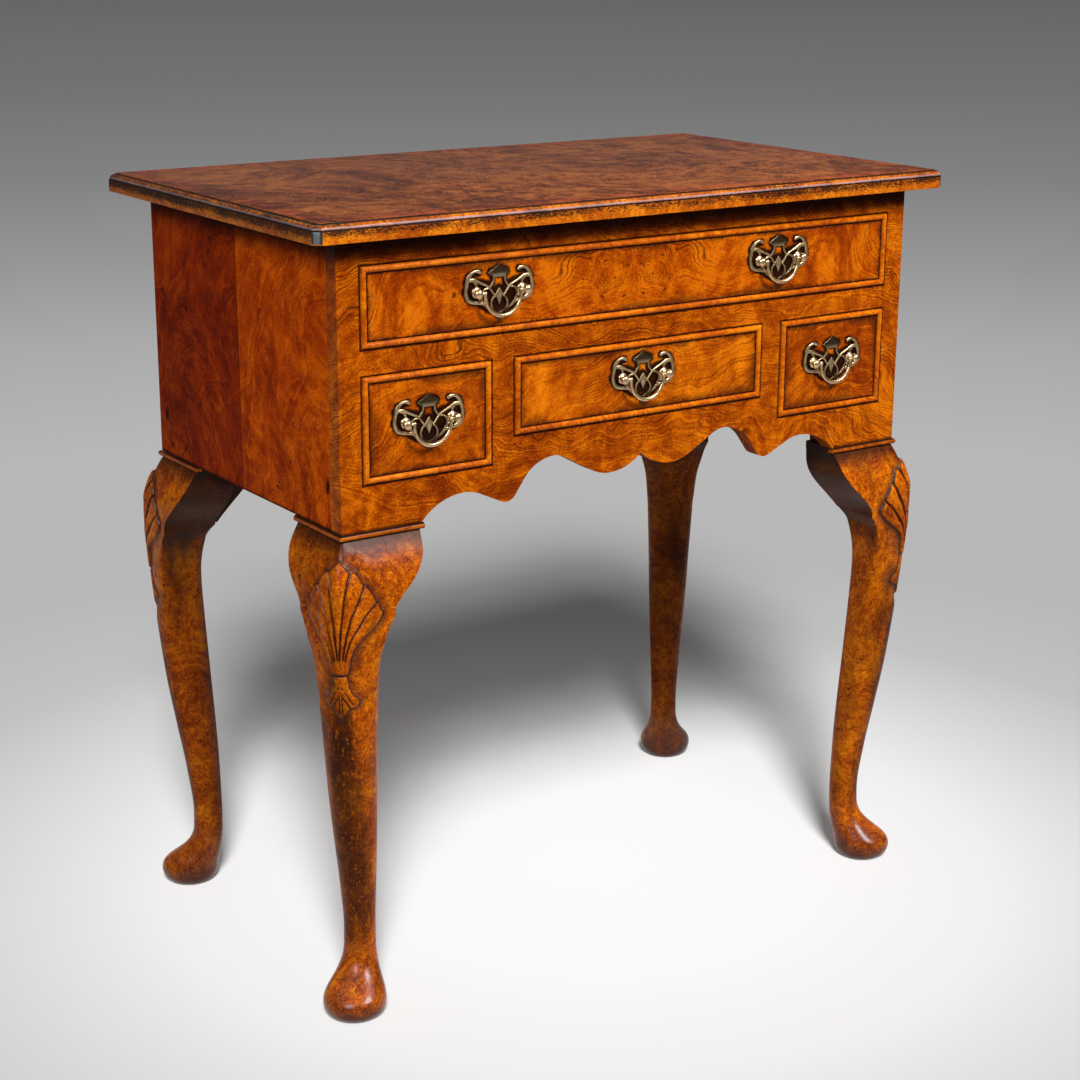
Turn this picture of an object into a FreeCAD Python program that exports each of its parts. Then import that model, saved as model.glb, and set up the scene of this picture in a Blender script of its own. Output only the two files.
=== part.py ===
import FreeCAD, Part
import os
from math import acos, atan2, cos, hypot, pi, sin, sqrt

V = FreeCAD.Vector
os.makedirs("parts", exist_ok=True)

# Lowboy: a veneered case with four drawers on shell-carved cabriole legs.
# Millimetres. The floor is z = 0, the front faces -Y, and the origin lies under the middle of the top.

# ---------------------------------------------------------------- driving dimensions: case
height = 760.0             # floor to the upper face of the top
top_width = 729.0
top_depth = 431.0
top_thickness = 18.0
top_front_overhang = 24.5  # past the front of the case
top_side_overhang = 32.3
top_back_overhang = 32.2
top_corner_clip = 6.5      # 45 degree cut on each corner
fascia_height = 11.5       # upright lower part of the top's edge
ovolo_run = 5.6            # plan width of the quarter-round above the fascia
fillet_step = 0.9          # small flat steps below and above the quarter-round
ovolo_facets = 6

panel_thickness = 18.0
back_thickness = 12.0
front_thickness = 18.0     # stiles, apron and the front edge of the dividers
rail_depth = 45.0          # top and middle rails lie flat
stile_width = 22.9
top_rail_height = 24.4
middle_rail_height = 23.4
divider_width = 24.6
long_hole_height = 74.6    # holes in the front that the drawers fill
small_hole_height = 99.1
middle_hole_height = 74.8
apron_height = 42.5        # from the holes of the small drawers down to the case's lower edge
small_hole_width = 137.0

runner_height = 12.0
runner_width = 18.0
guide_rise = 10.0          # upstand beside the side runners that guides the drawer
block_size = 16.0          # glue blocks
block_length = 80.0
edge_screw_share = 0.15    # end screws of a strip, as a share of its length
screw_radius = 2.0
screw_head_radius = 3.9
screw_head_height = 2.4
screw_pocket = 8.0         # how far the head is sunk into the strip
screw_bite = 11.0          # length of thread in the top
cut_past = 1.0             # how far the body of a cut runs past the face it cuts

# the apron's lower edge: distance from the middle, rise above the case's lower edge, radius
apron_flat_start = 248.0
outer_arch = (203.0, 21.0, 60.0)
outer_arch_inner_radius = 41.0
drop = (156.5, 4.9, 12.5)
inner_arch = (102.0, 42.0, 42.0)
inner_arch_inner_radius = 24.0
lobe = (37.5, 15.8, 41.0)
cusp_rise = 30.5           # the point between the two lobes

# ---------------------------------------------------------------- driving dimensions: legs
bead_height = 6.0          # moulding between the case and the leg
bead_proud = 3.0
bead_tongue = 4.0
bead_run_past = 2.0        # how far a bead runs past the knee block
leg_stock = 42.0           # the leg's square top, from the case's faces inwards
ear_depth = 41.5           # knee block, front to back at its top
ear_lean = 8.0             # how much shallower it is at its foot
stub_width = 38.0          # square stub that rises inside the case
stub_gap = 1.0             # left between it and the runner above
ear_join = 0.5             # the block stands this much past the leg's stock at its foot
# Tables of the leg: heights in hundredths of the leg's height, distances in hundredths of its stock.
# (height, swell past the case's face)
outer_line = [(0, 29.8), (0.5, 41.7), (3, 53.1), (5.9, 36.9), (8.5, 9.5), (10.6, -7.6), (13.1, -17.1),
              (16.9, -20), (27.5, -9), (38.1, 7.6), (50.8, 26.2), (63.6, 37.6), (74.2, 44.3), (84.7, 50.5),
              (90, 49.5), (94.3, 36.9), (97.5, 19), (100, 0)]
# (height, distance of the inner face behind the case's face)
inner_line = [(0, 66.7), (0.5, 76.2), (3, 83.8), (8.5, 89.5), (16.9, 91.4), (27.5, 91.2), (50.8, 84.3),
              (63.6, 77.6), (74.2, 72.9), (82, 82.1), (85.2, 101.2), (87.3, 121.4), (89.6, 146.4),
              (91.9, 170.2), (94.3, 189.3), (96.6, 197.6), (100, 197.6)]
# (height, share of the half width that is rounded) for the knee's corner, the side arrises and the back
knee_round = [(0, 0.97), (50.8, 0.97), (63.6, 0.9), (72, 0.8), (80.9, 0.72), (89, 0.62), (95.3, 0.4),
              (100, 0.08)]
arris_round = [(0, 0.97), (50.8, 0.97), (63.6, 0.8), (72, 0.55), (77.1, 0.35), (80.9, 0.16), (83.9, 0.05),
               (100, 0.03)]
back_round = [(0, 0.97), (50.8, 0.97), (63.6, 0.9), (72, 0.8), (77.1, 0.7), (83.9, 0.5), (100, 0.05)]
# (height, how far the front arris of a knee block's end is worked back)
ear_hollow = [(82, 0), (85.2, 7.1), (87.9, 17.9), (91.1, 17.9), (96.4, 11.9), (100, 3.6)]
ear_foot = 85.2
leg_stations = [0, 0.5, 1.5, 3, 4.4, 5.9, 7.2, 8.9, 10.6, 13.1, 16.9, 22.2, 27.5, 36, 44.5, 53, 61.4, 68.9,
                74.2, 78.4, 82, 85.2, 88.1, 91.1, 94.1, 96.6, 98.5, 100]

# ---------------------------------------------------------------- driving dimensions: drawers
drawer_gap = 1.0           # between a drawer's front and the hole
running_gap = 0.4          # between a drawer's sides and its runners
drawer_back_gap = 20.3     # from the drawers' backs to the back board
drawer_front_thickness = 18.0
drawer_side_thickness = 9.0
drawer_back_thickness = 8.0
drawer_bottom_thickness = 5.0
bottom_rise = 7.0          # from the sides' lower edge to the bottom panel
groove_depth = 4.0
side_top_gap = 2.5         # the sides are this much lower than the front
back_top_drop = 5.0        # and the back is this much lower than the sides
cockbead_width = 5.6
cockbead_proud = 2.6
cockbead_tail = 9.0        # depth of the strip in the front's rebate
mitre_gap = 0.05           # hairline between two strips at a corner
front_lap = 10.0           # wood left in front of the lapped dovetails
tail_pitch = 24.0          # spacing of the dovetails, about
tail_slope = 0.16
tail_edge = 1.0            # left below the lowest tail

# ---------------------------------------------------------------- driving dimensions: handles
plate_thickness = 1.6
post_spacing = 49.0
post_rise = 2.6            # posts above the middle of the plate
pivot_reach = 8.0          # pivot in front of the drawer's face
post_ball_radius = 2.9
post_neck_radius = 2.2
post_shank_radius = 2.0
post_pad_radius = 4.6      # round pad of the plate under a rosette
rosette_radius = 4.2
rosette_thickness = 1.2
stud_radius = 1.5
bail_radius = 1.6
knuckle_radius = 1.9       # ball at the top of each arm of the bail
knuckle_gap = 0.3          # between it and the post
bail_straight = 2.4        # upright part of the arms under the pivot
pintle_radius = 1.15
pintle_clearance = 0.08
nut_width = 9.0
nut_thickness = 3.0
shank_past_nut = 1.5
long_handle_x = 165.0
strap_steps = 2            # stations between two points of a strap
# Tables of the plate's right half, in hundredths of the distance between the posts.
# (across, up, width) along the middle of each strap
finial_strap = [(9.4, 31.8, 5.3), (11.8, 20.8, 4.1), (20, 11, 4.5)]
wing_strap = [(63.3, 25.3, 8.2), (51, 25.7, 7.3), (34.7, 20.4, 4.7), (22, 12.7, 4.5), (17.6, 3.3, 4.1),
              (10.2, -5.3, 4.5)]
oval_strap = [(0, 9, 4.5), (5.7, 1.2, 3.9), (13.5, -9, 4.1), (17.8, -19.6, 4.9), (13.1, -31.8, 4.5),
              (0, -38, 4.9)]
loop_strap = [(20, 11, 3.7), (29, 10.6, 4.1), (33.5, 2.4, 4.5), (31.4, -8.2, 4.9), (17.6, -24.1, 4.5)]
scroll_strap = [(41.2, 38.8, 5.3), (50.2, 41.4, 6.1), (61.2, 35.1, 8.2), (69.8, 19.2, 10.2), (70.6, 3.3, 9.8),
                (62, -8.6, 9.4), (44.9, -9, 6.9)]
eye_strap = [(53.1, 25.3, 6.9), (49, 16.3, 6.9), (48.2, 6.1, 7.3)]
# (across, up) along the right half of each flat piece
half_finial = [(0, 54.7), (4.9, 46.9), (13.9, 42.4), (24.1, 37.6), (16.3, 33.1), (11, 29.8)]
half_lozenge = [(0, 11), (6.9, -3.7), (5.3, -9), (0, -23.3)]
half_pendant = [(6.1, -38), (7.1, -45.7), (2.9, -48.6), (0, -55.1)]
stud_place = (35.1, -3.3)  # small round studs beside the strapwork

# ---------------------------------------------------------------- sizes that follow
case_half = top_width / 2 - top_side_overhang
front_y = -top_depth / 2 + top_front_overhang
back_y = top_depth / 2 - top_back_overhang
middle_y = (front_y + back_y) / 2
case_top = height - top_thickness
side_inner = case_half - panel_thickness
back_inner = back_y - back_thickness
hole_edge = case_half - stile_width
long_top = case_top - top_rail_height
long_bottom = long_top - long_hole_height
lower_top = long_bottom - middle_rail_height
small_bottom = lower_top - small_hole_height
middle_bottom = lower_top - middle_hole_height
case_bottom = small_bottom - apron_height
small_inner = hole_edge - small_hole_width
middle_half = small_inner - divider_width
frame_back = front_y + front_thickness
rail_back = front_y + rail_depth
leg_top = case_bottom - bead_height
pivot_y = front_y - pivot_reach
drawer_end = back_inner - drawer_back_gap
bail_half_width = post_spacing / 2 - post_ball_radius - knuckle_gap - knuckle_radius
stub_top = small_bottom - runner_height - stub_gap


# ---------------------------------------------------------------- helpers
def block(x0, x1, y0, y1, z0, z1):
    return Part.makeBox(x1 - x0, y1 - y0, z1 - z0, V(x0, y0, z0))


def rod(radius, start, end):
    return Part.makeCylinder(radius, (end - start).Length, start, end - start)


def prism(points, along):
    return Part.Face(Part.makePolygon(points + points[:1])).extrude(along)


def mirrored(shape, across):
    return shape.mirror(V(0, middle_y if across.y else 0, 0), across)


def group(solids):
    return Part.makeCompound(solids) if len(solids) > 1 else solids[0]


def save(name, shape):
    shape.exportStep("parts/" + name + ".step")


def eased(line, z):
    # value of a line of (height, value) points at height z, smooth and without overshoot
    steps = [((b[1] - a[1]) / (b[0] - a[0])) for a, b in zip(line, line[1:])]
    slopes = [steps[0]]
    for before, after in zip(steps, steps[1:]):
        slopes.append(0 if before * after <= 0 else 2 * before * after / (before + after))
    slopes.append(steps[-1])
    i = max(k for k in range(len(line) - 1) if line[k][0] <= z or k == 0)
    (z0, v0), (z1, v1) = line[i], line[i + 1]
    span = z1 - z0
    t = min(max((z - z0) / span, 0.0), 1.0)
    start = v0 * (1 + 2 * t) * (1 - t) ** 2 + slopes[i] * span * t * (1 - t) ** 2
    return start + v1 * t * t * (3 - 2 * t) + slopes[i + 1] * span * t * t * (t - 1)


def leg_height(share):
    return leg_top * share / 100


def leg_distance(line, z):
    return leg_stock / 100 * leg_share(line, z)


def leg_share(line, z):
    return eased(line, z / leg_top * 100)


# ---------------------------------------------------------------- top
def clipped_ring(inset, z):
    # outline of the top with its cut corners, moved inwards by inset on every side
    x = top_width / 2 - inset
    y = top_depth / 2 - inset
    clip = top_corner_clip - inset * (2 - sqrt(2))
    corners = [(-x + clip, -y), (x - clip, -y), (x, -y + clip), (x, y - clip),
               (x - clip, y), (-x + clip, y), (-x, y - clip), (-x, -y + clip)]
    points = [V(px, py, z) for px, py in corners]
    return Part.makePolygon(points + points[:1])


def top_board():
    # upright fascia, a small step, a quarter-round and a second step up to the field
    fascia_top = case_top + fascia_height
    ovolo_start = fascia_top + fillet_step
    ovolo_end = height - fillet_step
    rings = []
    for i in range(ovolo_facets + 1):
        turn = pi / 2 * i / ovolo_facets
        rise = (ovolo_end - ovolo_start) * sin(turn)
        rings.append(clipped_ring(fillet_step + ovolo_run * (1 - cos(turn)), ovolo_start + rise))
    tiers = [(0, case_top, fascia_top), (fillet_step, fascia_top, ovolo_start),
             (fillet_step * 2 + ovolo_run, ovolo_end, height)]
    slabs = [Part.Face(clipped_ring(inset, z0)).extrude(V(0, 0, z1 - z0)) for inset, z0, z1 in tiers]
    return slabs[0].fuse(slabs[1:] + [Part.makeLoft(rings, True, True)]).removeSplitter()


# ---------------------------------------------------------------- case
def tangent_points(c0, r0, c1, r1):
    # where a straight line touches two arcs that curve opposite ways, c0 left of c1
    dx, dz = c1[0] - c0[0], c1[1] - c0[1]
    turn = atan2(dz, dx)
    lean = acos((r0 + r1) / hypot(dx, dz))
    side = 1 if c0[1] < c1[1] else -1
    a = turn + side * lean
    p0 = (c0[0] + r0 * cos(a), c0[1] + r0 * sin(a))
    p1 = (c1[0] - r1 * cos(a), c1[1] - r1 * sin(a))
    return p0, p1


def arc_through(c, r, p, q, upper):
    # arc about c from p to q that passes over (upper) or under the centre
    a = atan2(p[1] - c[1], p[0] - c[0])
    b = atan2(q[1] - c[1], q[0] - c[0])
    m = (a + b) / 2
    if (sin(m) > 0) != upper:
        m += pi
    mid = (c[0] + r * cos(m), c[1] + r * sin(m))
    return Part.Arc(at_front(p), at_front(mid), at_front(q)).toShape()


def at_front(p):
    return V(p[0], front_y, case_bottom + p[1])


def straight(p, q):
    return Part.LineSegment(at_front(p), at_front(q)).toShape()


def apron_half_edges():
    # lower edge from the pointed middle out to the straight end, arcs joined by tangent lines
    lobe_c = (lobe[0], lobe[1] + lobe[2])
    in_c = (inner_arch[0], inner_arch[1] - inner_arch_inner_radius)
    out_c = (inner_arch[0], inner_arch[1] - inner_arch[2])
    drop_c = (drop[0], drop[1] + drop[2])
    arch_in_c = (outer_arch[0], outer_arch[1] - outer_arch_inner_radius)
    arch_out_c = (outer_arch[0], outer_arch[1] - outer_arch[2])
    cusp = (0.0, cusp_rise)
    low = (lobe[0], lobe[1])
    # the lobe's inner side is one arc that reaches the cusp
    rise = cusp_rise - lobe[1]
    inner_r = (lobe[0] ** 2 + rise ** 2) / (2 * rise)
    edges = [arc_through((lobe[0], lobe[1] + inner_r), inner_r, cusp, low, False)]
    chain = [(lobe_c, lobe[2], False), (in_c, inner_arch_inner_radius, True),
             (out_c, inner_arch[2], True), (drop_c, drop[2], False),
             (arch_in_c, outer_arch_inner_radius, True), (arch_out_c, outer_arch[2], True)]
    here = low
    for (c0, r0, up0), (c1, r1, up1) in zip(chain, chain[1:]):
        if up0 == up1:
            apex = (c0[0], c0[1] + r0)
            edges.append(arc_through(c0, r0, here, apex, up0))
            here = apex
        else:
            p, q = tangent_points(c0, r0, c1, r1)
            edges += [arc_through(c0, r0, here, p, up0), straight(p, q)]
            here = q
    reach = apron_flat_start - arch_out_c[0]
    foot = (apron_flat_start, arch_out_c[1] + sqrt(outer_arch[2] ** 2 - reach ** 2))
    edges += [arc_through(arch_out_c, outer_arch[2], here, foot, True), straight(foot, (apron_flat_start, 0.0)),
              straight((apron_flat_start, 0.0), (hole_edge, 0.0))]
    return edges


def apron():
    right = apron_half_edges()
    left = [edge.mirror(V(0, 0, 0), V(1, 0, 0)) for edge in right]
    step, high = small_bottom - case_bottom, middle_bottom - case_bottom
    upper = [(hole_edge, 0.0), (hole_edge, step), (middle_half, step), (middle_half, high),
             (-middle_half, high), (-middle_half, step), (-hole_edge, step), (-hole_edge, 0.0)]
    rim = [straight(p, q) for p, q in zip(upper, upper[1:])]
    outline = Part.Wire(Part.__sortEdges__(left + right + rim))
    return Part.Face(outline).extrude(V(0, front_thickness, 0))


def case_pieces():
    save("top_board", top_board().cut(group(screw_holes())))
    panel = block(side_inner, case_half, frame_back, back_y, case_bottom, case_top)
    stile = block(hole_edge, case_half, front_y, frame_back, case_bottom, case_top)
    save("side_panel_right", panel)
    save("side_panel_left", mirrored(panel, V(1, 0, 0)))
    save("stile_right", stile)
    save("stile_left", mirrored(stile, V(1, 0, 0)))
    save("back_board", block(-side_inner, side_inner, back_inner, back_y, case_bottom, case_top))
    rail = block(-hole_edge, hole_edge, front_y, rail_back, long_top, case_top)
    save("top_rail", rail.cut(group(screw_holes())))
    save("middle_rail", block(-hole_edge, hole_edge, front_y, rail_back, lower_top, long_bottom))
    save("apron", apron())
    muntin = block(middle_half, small_inner, front_y, frame_back, small_bottom, lower_top)
    board = block(middle_half, small_inner, frame_back, back_inner, small_bottom - runner_height, lower_top)
    divider = muntin.fuse(board).removeSplitter()
    save("divider_right", divider)
    save("divider_left", mirrored(divider, V(1, 0, 0)))


# ---------------------------------------------------------------- strips, blocks and screws in the case
def side_runner(z):
    base = block(hole_edge - runner_width, side_inner, rail_back, back_inner, z - runner_height, z)
    guide = block(hole_edge, side_inner, rail_back, back_inner, z, z + guide_rise)
    return base.fuse(guide).removeSplitter()


def inner_runner(x0, z):
    return block(x0, x0 + runner_width, frame_back, back_inner, z - runner_height, z)


def runners():
    right = [side_runner(long_bottom), side_runner(small_bottom), inner_runner(small_inner, small_bottom),
             inner_runner(middle_half - runner_width, middle_bottom)]
    return group(right + [mirrored(r, V(1, 0, 0)) for r in right])


def kickers():
    strip = block(hole_edge - runner_width, side_inner, rail_back, back_inner, long_top, case_top)
    strip = strip.cut(group(screw_holes()))
    return group([strip, mirrored(strip, V(1, 0, 0))])


def screw_places():
    side_x = hole_edge - runner_width / 3
    span = back_inner - rail_back
    rows = [rail_back + span * share for share in (edge_screw_share, 1 / 2, 1 - edge_screw_share)]
    places = [(x, y) for x in (-side_x, side_x) for y in rows]
    return places + [(x, front_y + rail_depth / 2) for x in (-small_inner, 0.0, small_inner)]


def screw(x, y):
    # countersunk wood screw, head down
    seat = long_top + screw_pocket
    shank = rod(screw_radius, V(x, y, seat), V(x, y, case_top + screw_bite))
    head = Part.makeCone(screw_head_radius, screw_radius, screw_head_height, V(x, y, seat))
    return shank.fuse(head).removeSplitter()


def screw_holes():
    # a pocket for each head, then the hole that the screw fills
    seat = long_top + screw_pocket
    pockets = [rod(screw_head_radius, V(x, y, long_top - cut_past), V(x, y, seat)) for x, y in screw_places()]
    return [pocket.fuse(screw(x, y)) for pocket, (x, y) in zip(pockets, screw_places())]


def glue_blocks():
    # rubbed into the corner of the top and the back
    return group([block(x - block_length / 2, x + block_length / 2, back_inner - block_size, back_inner,
                  case_top - block_size, case_top) for x in (-small_inner, 0.0, small_inner)])


# ---------------------------------------------------------------- legs
def leg_ring(z):
    # rounded square at height z, in the front left corner
    swell = leg_distance(outer_line, z)
    reach = min(leg_distance(inner_line, z), leg_stock)
    half = (swell + reach) / 2
    x0, x1 = -case_half - swell, -case_half + reach
    y0, y1 = front_y - swell, front_y + reach
    knee, arris, back = (leg_share(line, z) * half for line in (knee_round, arris_round, back_round))
    corners = [(x0, y0, knee, pi), (x1, y0, arris, pi * 3 / 2), (x1, y1, back, 0.0), (x0, y1, arris, pi / 2)]
    arcs = []
    for x, y, r, start in corners:
        cx = x + (r if x == x0 else -r)
        cy = y + (r if y == y0 else -r)
        points = [V(cx + r * cos(start + t), cy + r * sin(start + t), z) for t in (0, pi / 4, pi / 2)]
        arcs.append(Part.Arc(*points).toShape())
    edges = []
    for i, arc in enumerate(arcs):
        following = arcs[(i + 1) % 4]
        edges += [arc, Part.LineSegment(arc.Vertexes[1].Point, following.Vertexes[0].Point).toShape()]
    return Part.Wire(edges)


def leg():
    body = Part.makeLoft([leg_ring(leg_height(share)) for share in leg_stations], True, False)
    x, y = -case_half + bead_tongue, front_y + bead_tongue
    neck = block(x, -case_half + leg_stock, y, front_y + leg_stock, leg_top, case_bottom)
    x, y = -side_inner, frame_back
    stub = block(x, x + stub_width, y, y + stub_width, case_bottom, stub_top)
    return body.fuse([neck, stub]).removeSplitter()


def ear_ring(z):
    swell = leg_distance(outer_line, z)
    reach = max(leg_distance(inner_line, z), leg_stock + ear_join)
    front_reach = max(reach - leg_distance(ear_hollow, z), leg_stock + ear_join / 2)
    depth = ear_depth - ear_lean * (leg_top - z) / (leg_top - leg_height(ear_foot))
    x0, x1 = -case_half + leg_stock, -case_half + reach
    y0, y1 = front_y - swell, front_y + depth
    points = [V(x0, y0, z), V(-case_half + front_reach, y0, z), V(x1, y1, z), V(x0, y1, z)]
    return Part.makePolygon(points + points[:1])


def ears(body):
    # the block beside the leg under the apron, and the same one turned under the side panel
    front = Part.makeLoft([ear_ring(leg_height(s)) for s in leg_stations if s >= ear_foot], True, False)
    reach = leg_distance(inner_line, leg_top)
    neck = block(-case_half + leg_stock, -case_half + reach, front_y + bead_tongue, front_y + ear_depth,
                 leg_top, case_bottom)
    front = front.fuse(neck).removeSplitter().cut(body)
    side = front.mirror(V(-case_half, front_y, 0), V(1, -1, 0).normalize())
    return [front, side]


def bead_strip():
    # half-round strip along the front face, mitred at the corner
    z0, z1 = leg_top, case_bottom
    x0 = -case_half - bead_proud
    x1 = -case_half + leg_distance(inner_line, leg_top) + bead_run_past
    y_in = front_y + bead_tongue
    y_out = front_y - bead_proud
    y_mid = y_out + bead_height / 2
    points = [V(x0, y_in, z0), V(x0, y_mid, z0), V(x0, y_out, (z0 + z1) / 2), V(x0, y_mid, z1), V(x0, y_in, z1)]
    nose = Part.Arc(points[1], points[2], points[3]).toShape()
    rest = Part.makePolygon([points[3], points[4], points[0], points[1]]).Edges
    strip = Part.Face(Part.Wire([nose] + rest)).extrude(V(x1 - x0, 0, 0))
    corner = [V(x0, y_out, z0), V(x1, y_out, z0), V(x1, y_in, z0), V(x0 + y_in - y_out, y_in, z0)]
    return strip.common(prism(corner, V(0, 0, z1 - z0)))


def leg_pieces():
    first = leg()
    blocks = ears(first)
    strip = bead_strip()
    beads = [strip, strip.mirror(V(-case_half, front_y, 0), V(1, -1, 0).normalize())]
    all_blocks, all_beads = [], []
    for end, flip_y in (("front", False), ("back", True)):
        for side, flip_x in (("left", False), ("right", True)):
            placed = [first] + blocks + beads
            if flip_x:
                placed = [mirrored(s, V(1, 0, 0)) for s in placed]
            if flip_y:
                placed = [mirrored(s, V(0, 1, 0)) for s in placed]
            save("leg_" + end + "_" + side, placed[0])
            all_blocks += placed[1:3]
            all_beads += placed[3:]
    save("knee_blocks", group(all_blocks))
    save("knee_beads", group(all_beads))


# ---------------------------------------------------------------- drawers
def dovetails(x0, x1, y_root, y_tip, z0, z1):
    # a row of tails through the thickness of a side, wider at their tips
    count = max(2, int(round((z1 - z0) / tail_pitch)))
    pitch = (z1 - z0) / count
    flare = abs(y_tip - y_root) * tail_slope
    root = pitch / 2 - flare
    tails = []
    for i in range(count):
        middle = z0 + pitch * (i + 1 / 2)
        points = [V(x0, y_root, middle - root / 2), V(x0, y_tip, middle - root / 2 - flare),
                  V(x0, y_tip, middle + root / 2 + flare), V(x0, y_root, middle + root / 2)]
        tails.append(prism(points, V(x1 - x0, 0, 0)))
    return tails


def cockbeads(x0, x1, z0, z1):
    # four half-round strips mitred round the front, each with its tail in the rebate
    w = cockbead_width
    tail_y = front_y + cockbead_tail
    strips = []
    cx, cz = (x0 + x1) / 2, (z0 + z1) / 2
    for turn, span, rise in ((0, x1 - x0, z1 - z0), (90, z1 - z0, x1 - x0),
                             (180, x1 - x0, z1 - z0), (270, z1 - z0, x1 - x0)):
        a, e = -span / 2, -rise / 2
        points = [V(a, tail_y, e), V(a, front_y, e), V(a, front_y - cockbead_proud, e + w / 2),
                  V(a, front_y, e + w), V(a, tail_y, e + w)]
        nose = Part.Arc(points[1], points[2], points[3]).toShape()
        rest = Part.makePolygon([points[3], points[4], points[0], points[1]]).Edges
        strip = Part.Face(Part.Wire([nose] + rest)).extrude(V(span, 0, 0))
        start = front_y - cockbead_proud - cut_past
        cut = a + mitre_gap
        mitre = [V(cut, start, e), V(-cut, start, e), V(-cut - w, start, e + w), V(cut + w, start, e + w)]
        strip = strip.common(prism(mitre, V(0, tail_y - start, 0)))
        strip.rotate(V(0, 0, 0), V(0, 1, 0), turn)
        strip.translate(V(cx, 0, cz))
        strips.append(strip)
    return strips


def drawer(name, hole_x0, hole_x1, hole_z0, hole_z1, handles):
    x0, x1 = hole_x0 + drawer_gap, hole_x1 - drawer_gap
    z0, z1 = hole_z0 + drawer_gap, hole_z1 - drawer_gap
    front_back = front_y + drawer_front_thickness
    side_z0, side_z1 = hole_z0 + running_gap, z1 - side_top_gap
    panel_z = side_z0 + bottom_rise
    groove = drawer_side_thickness - groove_depth
    panel = block(x0 + groove, x1 - groove, front_back - groove_depth, drawer_end,
                  panel_z, panel_z + drawer_bottom_thickness)
    back_z0, back_z1 = panel_z + drawer_bottom_thickness, side_z1 - back_top_drop
    rear = drawer_end - drawer_back_thickness
    back = block(x0, x1, rear, drawer_end, back_z0, back_z1)
    front = block(x0, x1, front_y, front_back, z0, z1)
    w = cockbead_width
    inner = block(x0 + w, x1 - w, front_y, front_y + cockbead_tail, z0 + w, z1 - w)
    rim = block(x0, x1, front_y, front_y + cockbead_tail, z0, z1).cut(inner)
    front = front.cut([rim, panel])
    for side, s0, s1 in (("left", x0, x0 + drawer_side_thickness), ("right", x1 - drawer_side_thickness, x1)):
        front_tails = dovetails(s0, s1, front_back, front_y + front_lap, side_z0 + tail_edge, side_z1)
        rear_tails = dovetails(s0, s1, rear, drawer_end, back_z0, back_z1)
        board = block(s0, s1, front_back, rear, side_z0, side_z1)
        board = board.fuse(front_tails + rear_tails).removeSplitter().cut(panel)
        front = front.cut(front_tails)
        back = back.cut(rear_tails)
        save("drawer_" + name + "_side_" + side, board)
    for x, z in handles:
        for px in (x - post_spacing / 2, x + post_spacing / 2):
            hole = rod(post_shank_radius, V(px, front_y - cut_past, z), V(px, front_back + cut_past, z))
            front = front.cut(hole)
    save("drawer_" + name + "_front", front)
    save("drawer_" + name + "_back", back)
    save("drawer_" + name + "_bottom", panel)
    save("drawer_" + name + "_cockbeads", group(cockbeads(x0, x1, z0, z1)))


# ---------------------------------------------------------------- handles
def plate_size(share):
    return post_spacing * share / 100


def smooth(points):
    curve = Part.BSplineCurve()
    curve.interpolate(points)
    return curve


def strap(line):
    # flat band of changing width along a smooth line, with round ends
    middle = smooth([V(plate_size(x), plate_size(width), plate_size(z)) for x, z, width in line])
    steps = strap_steps * (len(line) - 1)
    sides = ([], [])
    ends = []
    for i in range(steps + 1):
        u = middle.FirstParameter + (middle.LastParameter - middle.FirstParameter) * i / steps
        here, run = middle.value(u), middle.tangent(u)[0]
        run = V(run.x, 0, run.z).normalize()
        across = V(-run.z, 0, run.x) * (here.y / 2)
        here = V(here.x, front_y, 0) + V(0, 0, middle.value(u).z)
        sides[0].append(here + across)
        sides[1].append(here - across)
        ends.append((here, run * across.Length))
    (tail, back_run), (tip, tip_run) = ends[0], ends[-1]
    edges = [smooth(sides[0]).toShape(), Part.Arc(sides[0][-1], tip + tip_run, sides[1][-1]).toShape(),
             smooth(sides[1]).toShape(), Part.Arc(sides[1][0], tail - back_run, sides[0][0]).toShape()]
    return Part.Face(Part.Wire(edges)).extrude(V(0, -plate_thickness, 0))


def symmetric(half):
    # flat piece from the right half of its outline, top to bottom
    left = [(-x, z) for x, z in reversed(half) if x > 0]
    outline = [V(plate_size(x), front_y, plate_size(z)) for x, z in half + left]
    return prism(outline, V(0, -plate_thickness, 0))


def plate():
    # pierced strapwork about the plate's own middle: the right half, its mirror and the middle pieces
    half = [strap(line) for line in (finial_strap, wing_strap, oval_strap, loop_strap, scroll_strap, eye_strap)]
    post = post_spacing / 2
    face = front_y - plate_thickness
    half.append(rod(post_pad_radius, V(post, front_y, post_rise), V(post, face, post_rise)))
    stud = V(plate_size(stud_place[0]), face, plate_size(stud_place[1]))
    half.append(Part.makeSphere(stud_radius, stud, V(0, -1, 0), 0, 90, 360))
    other = [s.mirror(V(0, 0, 0), V(1, 0, 0)) for s in half]
    middle = [symmetric(outline) for outline in (half_finial, half_lozenge, half_pendant)]
    whole = middle[0].fuse(middle[1:] + half + other)
    holes = [rod(post_shank_radius, V(x, front_y + cut_past, post_rise), V(x, face - cut_past, post_rise))
             for x in (-post, post)]
    return whole.cut(holes).removeSplitter()


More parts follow.
